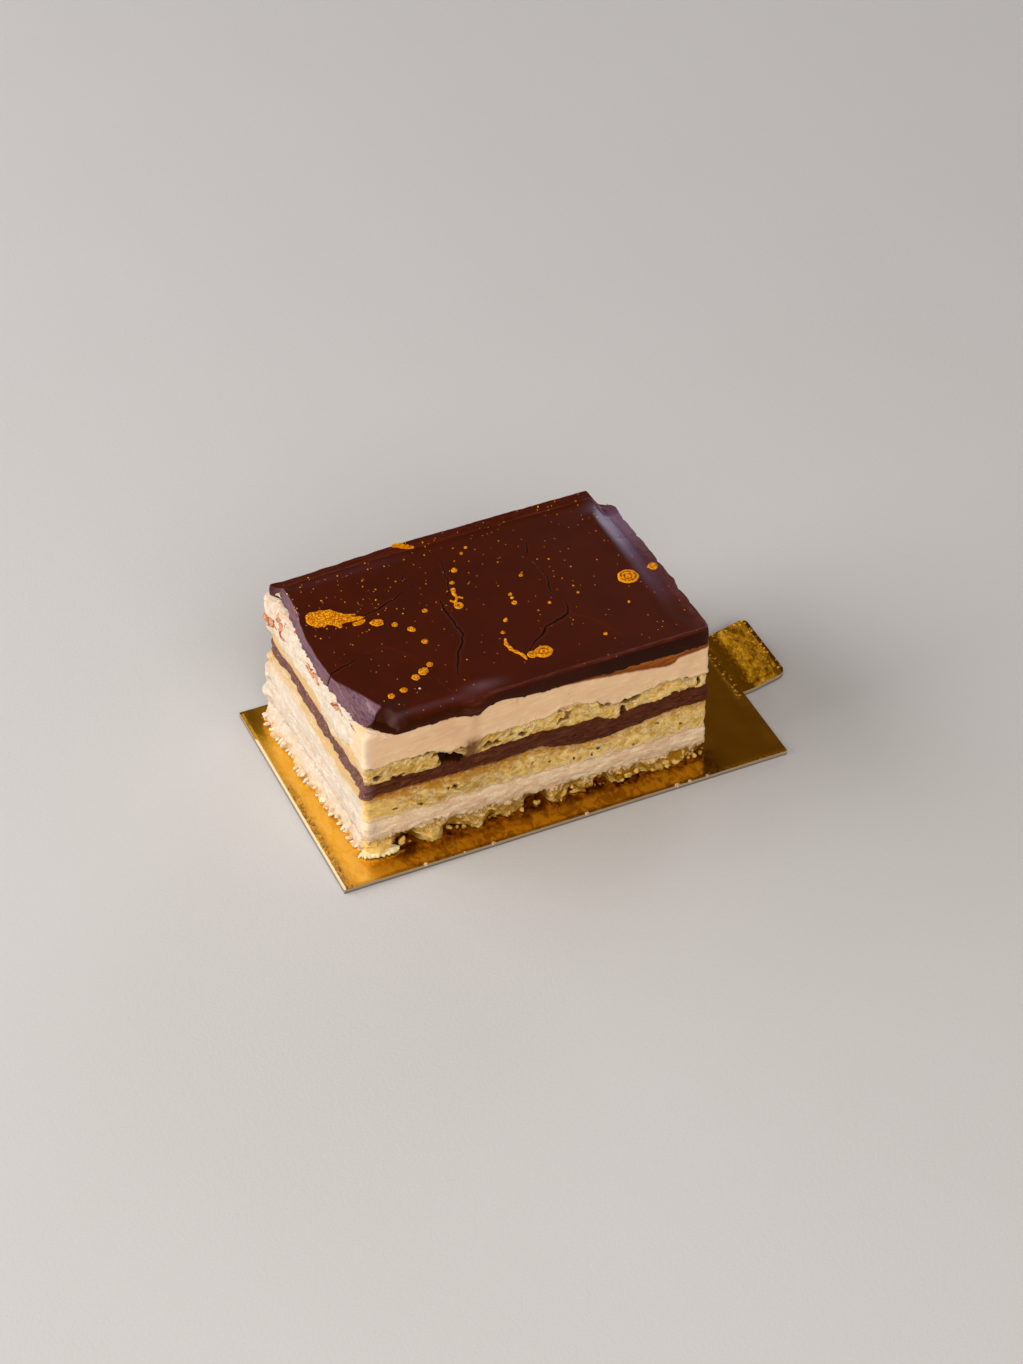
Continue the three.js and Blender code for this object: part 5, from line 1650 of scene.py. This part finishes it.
class OperaCakeSizes(bpy.types.PropertyGroup):
    """The sizes and counts that a user would change."""

    wall_step: size_property("Wall step", "Spacing of the points round each layer", 0.0002)
    drop_height: size_property("Drop height", "How far the gold drops stand above the glaze", 0.00018)
    crack_depth: size_property("Crack depth", "How deep the cracks in the glaze go", 0.00007)
    foil_crease: size_property("Foil crease", "How high the foil's crumples are", 0.00002)
    speck_count: count_property("Specks", "Specks of gold on the glaze", 230)
    crumb_count: count_property("Crumbs", "Crumbs along the front of the foot", 60)
    petal_count: count_property("Petals", "Torn tongues along the left foot", 30)


# Each colour of the cake, its card and the floor: what it is, and its default.
COLOURS = {
    "sponge": ("Almond sponge", (0.78, 0.49, 0.11)),
    # the sponge's furrows and crests carry painted shade and highlight as well as its own tone
    "sponge_deep": ("Furrows of the sponge", (0.52, 0.25, 0.03)),
    # soaked sponge, also laid as painted shade in the recesses of the bottom sponge's foot
    "sponge_amber": ("Sponge soaked through", (0.33, 0.155, 0.006)),
    "sponge_pale": ("Crests of the sponge", (0.88, 0.625, 0.195)),
    "sponge_white": ("Whitish curls of the sponge", (1.0, 0.87, 0.55)),
    # painted shade inside the sponge's pores and under the cream's teeth
    "sponge_pore_shade": ("Inside the sponge's pores", (0.26, 0.14, 0.025)),
    "sponge_sunny": ("Sponge lit through at the near corner", (0.90, 0.58, 0.16)),
    "sponge_torn": ("Sponge on the torn end", (0.62, 0.40, 0.16)),
    "rust": ("Rusty tips of the torn end", (0.62, 0.30, 0.13)),
    # the torn end's pale strands and the crumbs, also laid as painted highlight along the strands, on the
    # lit corner and as glints
    "torn_white_and_highlight": ("Strands of the torn end", (0.80, 0.70, 0.55)),
    "syrup": ("Sponge soaked in coffee syrup", (0.48, 0.19, 0.010)),
    "syrup_deep": ("Sponge under the ganache", (0.26, 0.075, 0.005)),
    "cream": ("Coffee buttercream", (0.83, 0.56, 0.325)),
    "cream_deep": ("Furrows of the buttercream", (0.74, 0.45, 0.24)),
    "cream_white": ("Whitish streaks in the buttercream", (1.0, 0.80, 0.57)),
    "cream_pink": ("Pink streaks in the buttercream", (0.72, 0.40, 0.24)),
    "cream_torn": ("Torn, airy buttercream", (0.64, 0.54, 0.43)),
    "cream_shade": ("Furrows of torn buttercream", (0.56, 0.42, 0.31)),
    "smear": ("Ganache rubbed into the cream", (0.15, 0.055, 0.018)),
    "smear_orange": ("Glaze dragged thinly over the cream", (0.60, 0.23, 0.085)),
    "smear_red": ("Glaze dragged over the cream", (0.22, 0.05, 0.018)),
    "caramel": ("Caramel under the glaze", (0.22, 0.046, 0.001)),
    "caramel_pale": ("Thin caramel", (0.38, 0.12, 0.006)),
    # painted shade: the dark inside of torn holes, slits and slots
    "pit": ("The dark inside of torn holes", (0.022, 0.007, 0.002)),
    # painted shade fading out at the rim of the holes
    "pit_rim": ("The soaked rim of torn holes", (0.24, 0.115, 0.025)),
    "ganache": ("Chocolate ganache", (0.125, 0.031, 0.010)),
    "ganache_deep": ("Darker ganache", (0.082, 0.018, 0.006)),
    "ganache_pale": ("Knife lines in the ganache", (0.19, 0.055, 0.02)),
    # the torn end's ganache with a painted purple-grey sheen
    "ganache_torn_sheen": ("Ganache on the torn end", (0.21, 0.09, 0.075)),
    "glaze": ("Dark chocolate glaze", (0.055, 0.0062, 0.0006)),
    "glaze_deep": ("Darker clouds in the glaze", (0.042, 0.0045, 0.0005)),
    "glaze_pale": ("Paler mottling in the glaze", (0.085, 0.014, 0.003)),
    # painted shade on the glaze's upright sides
    "glaze_side_shade": ("The glaze's upright sides", (0.034, 0.006, 0.0012)),
    # painted sheen on the glaze's cut edge and rolls, over the cut's paler matte
    "glaze_edge_sheen": ("Bloom on the glaze's cut edge", (0.19, 0.095, 0.115)),
    "glaze_mauve": ("Knife lines in the bloom", (0.09, 0.042, 0.07)),
    # painted sheen on the rolled right end
    "glaze_sheen": ("Bloom on the rolled right end", (0.17, 0.11, 0.24)),
    # thin glaze along the edges with a painted reddish highlight on the ridges, and reddish streaks on the
    # sides
    "glaze_red_and_highlight": ("Thin glaze along the edges", (0.15, 0.038, 0.026)),
    # painted shade inside a crack and for the shadow on the glaze's front; also the dark holes in the
    # gold's lace
    "crack": ("The inside of a crack", (0.008, 0.0018, 0.0006)),
    # painted highlight along the rim of a crack
    "crack_highlight": ("The rim of a crack", (0.10, 0.018, 0.006)),
    "gold": ("Gold paint on the glaze", (0.74, 0.245, 0.0015)),
    "gold_deep": ("Thin gold paint", (0.44, 0.10, 0.0005)),
    "gold_bright": ("Thick gold paint", (1.0, 0.50, 0.008)),
    "gold_line": ("Dark lines drawn in the gold", (0.14, 0.035, 0.001)),
    "foil": ("Gold foil of the card", (0.86, 0.44, 0.02)),
    "foil_deep": ("Deeper gold of the foil", (0.72, 0.34, 0.01)),
    # painted shade: foil darkened as a reflection of the slice's shaded foot, on the tab and at the far
    # left corner
    "foil_shade": ("Dull foil in front of the slice", (0.33, 0.14, 0.002)),
    # painted reflection of the lit slice and window on the left strip
    "foil_lit": ("Foil that faces the window", (0.95, 0.52, 0.07)),
    # pressed lines in the foil, darkened as a painted dark reflection
    "foil_rub_dark_reflection": ("Lines pressed into the foil", (0.16, 0.06, 0.004)),
    # painted glints on the tab
    "foil_glint": ("Pressed specks on the tab", (1.0, 0.47, 0.04)),
    # painted highlight along the card's left edge
    "board_edge_highlight": ("The card's worn left edge", (0.80, 0.68, 0.42)),
    "board": ("The card's cut edge", (0.36, 0.30, 0.22)),
    # painted shade towards the bottom of the card's edge
    "board_edge_shade": ("The underside of the card's edge", (0.20, 0.14, 0.09)),
    "bead": ("Syrup beads", (0.45, 0.30, 0.16)),
    "floor": ("The pale floor", (0.60, 0.60, 0.60)),
    "floor_deep": ("Darker patches of the floor", (0.565, 0.56, 0.555)),
}


class OperaCakeColours(bpy.types.PropertyGroup):
    """The colours of the cake, its card and the floor."""

    __annotations__ = {
        key: FloatVectorProperty(
            name=key.replace("_", " ").capitalize(), description=about, default=value,
            size=3, min=0.0, max=1.0, subtype="COLOR",
        )
        for key, (about, value) in COLOURS.items()
    }


def setup(context):
    """The sizes and the colours that the operators work with."""
    return context.scene.opera_cake_sizes, context.scene.opera_cake_colours


# ---------------------------------------------------------------- operators


class OPERA_CAKE_OT_sponges(bpy.types.Operator):
    """Add the three sponge layers"""

    bl_idname = "opera_cake.sponges"
    bl_label = "Sponge Layers"

    def execute(self, context):
        sizes, colours = setup(context)
        soaks = (("bottom", 0.7, 1.6), ("middle", 0.18, 2.4), ("upper", 0.25, 0.3))
        for place, amber, syrup in soaks:
            finish = sponge_finish(place + " sponge", colours, amber, syrup)
            build_layer(place + "_sponge", finish, sizes)
        return {"FINISHED"}


class OPERA_CAKE_OT_creams(bpy.types.Operator):
    """Add the two layers of buttercream and the shards that the knife lifted"""

    bl_idname = "opera_cake.creams"
    bl_label = "Buttercream Layers"

    def execute(self, context):
        sizes, colours = setup(context)
        for place, streaks in (("lower", 1.0), ("upper", 0.0)):
            finish = cream_finish(place + " buttercream", colours, streaks)
            build_layer(place + "_buttercream", finish, sizes)
        build_shards(crumb_finish("cream shards", colours))
        return {"FINISHED"}


class OPERA_CAKE_OT_ganache(bpy.types.Operator):
    """Add the layer of ganache"""

    bl_idname = "opera_cake.ganache"
    bl_label = "Ganache Layer"

    def execute(self, context):
        sizes, colours = setup(context)
        build_layer("ganache_layer", ganache_finish("ganache", colours), sizes)
        return {"FINISHED"}


class OPERA_CAKE_OT_glaze(bpy.types.Operator):
    """Add the dark glaze with its cracks"""

    bl_idname = "opera_cake.glaze"
    bl_label = "Glaze"

    def execute(self, context):
        sizes, colours = setup(context)
        build_glaze(glaze_finish("dark glaze", colours), sizes)
        return {"FINISHED"}


class OPERA_CAKE_OT_gold(bpy.types.Operator):
    """Add the drops, trails and specks of edible gold"""

    bl_idname = "opera_cake.gold"
    bl_label = "Edible Gold"

    def execute(self, context):
        sizes, colours = setup(context)
        finish = gold_finish("edible gold", colours)
        build_gold(finish, sizes)
        build_specks(finish, sizes.speck_count)
        return {"FINISHED"}


class OPERA_CAKE_OT_crumbs(bpy.types.Operator):
    """Add the loose crumbs at the foot of the slice"""

    bl_idname = "opera_cake.crumbs"
    bl_label = "Crumbs"

    def execute(self, context):
        sizes, colours = setup(context)
        build_crumbs(crumb_finish("crumbs", colours), sizes)
        return {"FINISHED"}


class OPERA_CAKE_OT_card(bpy.types.Operator):
    """Add the foil card with its tab, and the syrup beads on its edge"""

    bl_idname = "opera_cake.card"
    bl_label = "Foil Card"

    def execute(self, context):
        sizes, colours = setup(context)
        build_card(foil_finish("gold foil card", colours), sizes)
        build_beads(syrup_finish("syrup beads", colours))
        return {"FINISHED"}


# ---------------------------------------------------------------- stage, camera and lights

CAMERA_PLACE = Vector((-216.73, -467.26, 472.74)) * MM
CAMERA_HEADING = math.radians(-24.87)
CAMERA_PITCH = math.radians(41.67)
CAMERA_ROLL = math.radians(0.43)
CAMERA_LENS = 92.38  # mm
SENSOR_HEIGHT = 36.0  # mm
FLOOR_HALF = 3.0  # m
# The soft lights: name, place in m, width and height in m, power in W and colour. The last one
# lights the front of the slice and doesn't show in what shines.
LIGHTS = (
    ("window", (-0.80, 0.22, 0.46), (0.75, 0.55), 8.4, (1.0, 0.97, 0.94)),
    ("back window", (-0.55, 0.75, 0.30), (0.5, 0.35), 2.6, (0.88, 0.9, 1.0)),
    ("far wall", (0.62, 0.62, 0.26), (0.4, 0.25), 1.6, (0.88, 0.9, 1.0)),
    ("over the tab", (-0.03, 0.62, 0.66), (0.2, 0.2), 0.1, (1.0, 0.95, 0.9)),
    ("room", (-0.15, -0.85, 0.75), (1.0, 0.7), 9.7, (1.0, 0.96, 0.92)),
)
LIT_POINT = Vector((0.0, 0.0, 0.015))


def add_camera(scene):
    data = bpy.data.cameras.new("camera")
    data.sensor_fit = "VERTICAL"
    data.sensor_height = SENSOR_HEIGHT
    data.lens = CAMERA_LENS
    data.clip_start = 0.01
    data.clip_end = 20.0
    camera = bpy.data.objects.new("camera", data)
    turn = Matrix.Rotation(CAMERA_HEADING, 4, "Z")
    turn = turn @ Matrix.Rotation(math.pi / 2 - CAMERA_PITCH, 4, "X")
    turn = turn @ Matrix.Rotation(CAMERA_ROLL, 4, "Z")
    camera.matrix_world = Matrix.Translation(CAMERA_PLACE) @ turn
    scene.collection.objects.link(camera)
    scene.camera = camera


def add_light(scene, name, place, size, power, colour):
    """A rectangular soft light that faces the slice."""
    data = bpy.data.lights.new(name, "AREA")
    data.shape = "RECTANGLE"
    data.size, data.size_y = size
    data.energy = power
    data.color = colour
    light = bpy.data.objects.new(name, data)
    facing = (LIT_POINT - Vector(place)).to_track_quat("-Z", "Y")
    light.matrix_world = Matrix.Translation(place) @ facing.to_matrix().to_4x4()
    scene.collection.objects.link(light)
    return light


class OPERA_CAKE_OT_stage(bpy.types.Operator):
    """Add the floor, the camera and the soft studio lights"""

    bl_idname = "opera_cake.stage"
    bl_label = "Stage"

    def execute(self, context):
        scene = context.scene
        bm = bmesh.new()
        bmesh.ops.create_grid(bm, x_segments=4, y_segments=4, size=FLOOR_HALF)
        mesh = bpy.data.meshes.new("floor")
        bm.to_mesh(mesh)
        bm.free()
        mesh.materials.append(floor_finish("pale floor", scene.opera_cake_colours))
        floor = bpy.data.objects.new("floor", mesh)
        scene.collection.objects.link(floor)
        lights = [add_light(scene, *light) for light in LIGHTS]
        lights[-1].visible_glossy = False
        world = bpy.data.worlds.new("room")
        world.use_nodes = True
        background = world.node_tree.nodes["Background"]
        background.inputs["Color"].default_value = (0.8, 0.5, 0.27, 1.0)
        background.inputs["Strength"].default_value = 0.1
        scene.world = world
        scene.view_settings.view_transform = "Standard"
        add_camera(scene)
        return {"FINISHED"}


OPERATORS = (
    OPERA_CAKE_OT_card,
    OPERA_CAKE_OT_sponges,
    OPERA_CAKE_OT_creams,
    OPERA_CAKE_OT_ganache,
    OPERA_CAKE_OT_glaze,
    OPERA_CAKE_OT_gold,
    OPERA_CAKE_OT_crumbs,
    OPERA_CAKE_OT_stage,
)


class OPERA_CAKE_PT_panel(bpy.types.Panel):
    """Lists the slice's settings and pieces"""

    bl_label = "Opera Cake"
    bl_idname = "OPERA_CAKE_PT_panel"
    bl_space_type = "VIEW_3D"
    bl_region_type = "UI"
    bl_category = "Opera Cake"

    def draw(self, context):
        for group in setup(context):
            box = self.layout.box()
            for name in group.__annotations__:
                box.prop(group, name)
        for operator in OPERATORS:
            self.layout.operator(operator.bl_idname)


CLASSES = (OperaCakeSizes, OperaCakeColours, *OPERATORS, OPERA_CAKE_PT_panel)


def register():
    for cls in CLASSES:
        bpy.utils.register_class(cls)
    bpy.types.Scene.opera_cake_sizes = PointerProperty(type=OperaCakeSizes)
    bpy.types.Scene.opera_cake_colours = PointerProperty(type=OperaCakeColours)


def unregister():
    del bpy.types.Scene.opera_cake_colours
    del bpy.types.Scene.opera_cake_sizes
    for cls in reversed(CLASSES):
        bpy.utils.unregister_class(cls)


def main():
    register()
    bpy.ops.opera_cake.card()
    bpy.ops.opera_cake.sponges()
    bpy.ops.opera_cake.creams()
    bpy.ops.opera_cake.ganache()
    bpy.ops.opera_cake.glaze()
    bpy.ops.opera_cake.gold()
    bpy.ops.opera_cake.crumbs()
    bpy.ops.opera_cake.stage()


if __name__ == "__main__":
    main()
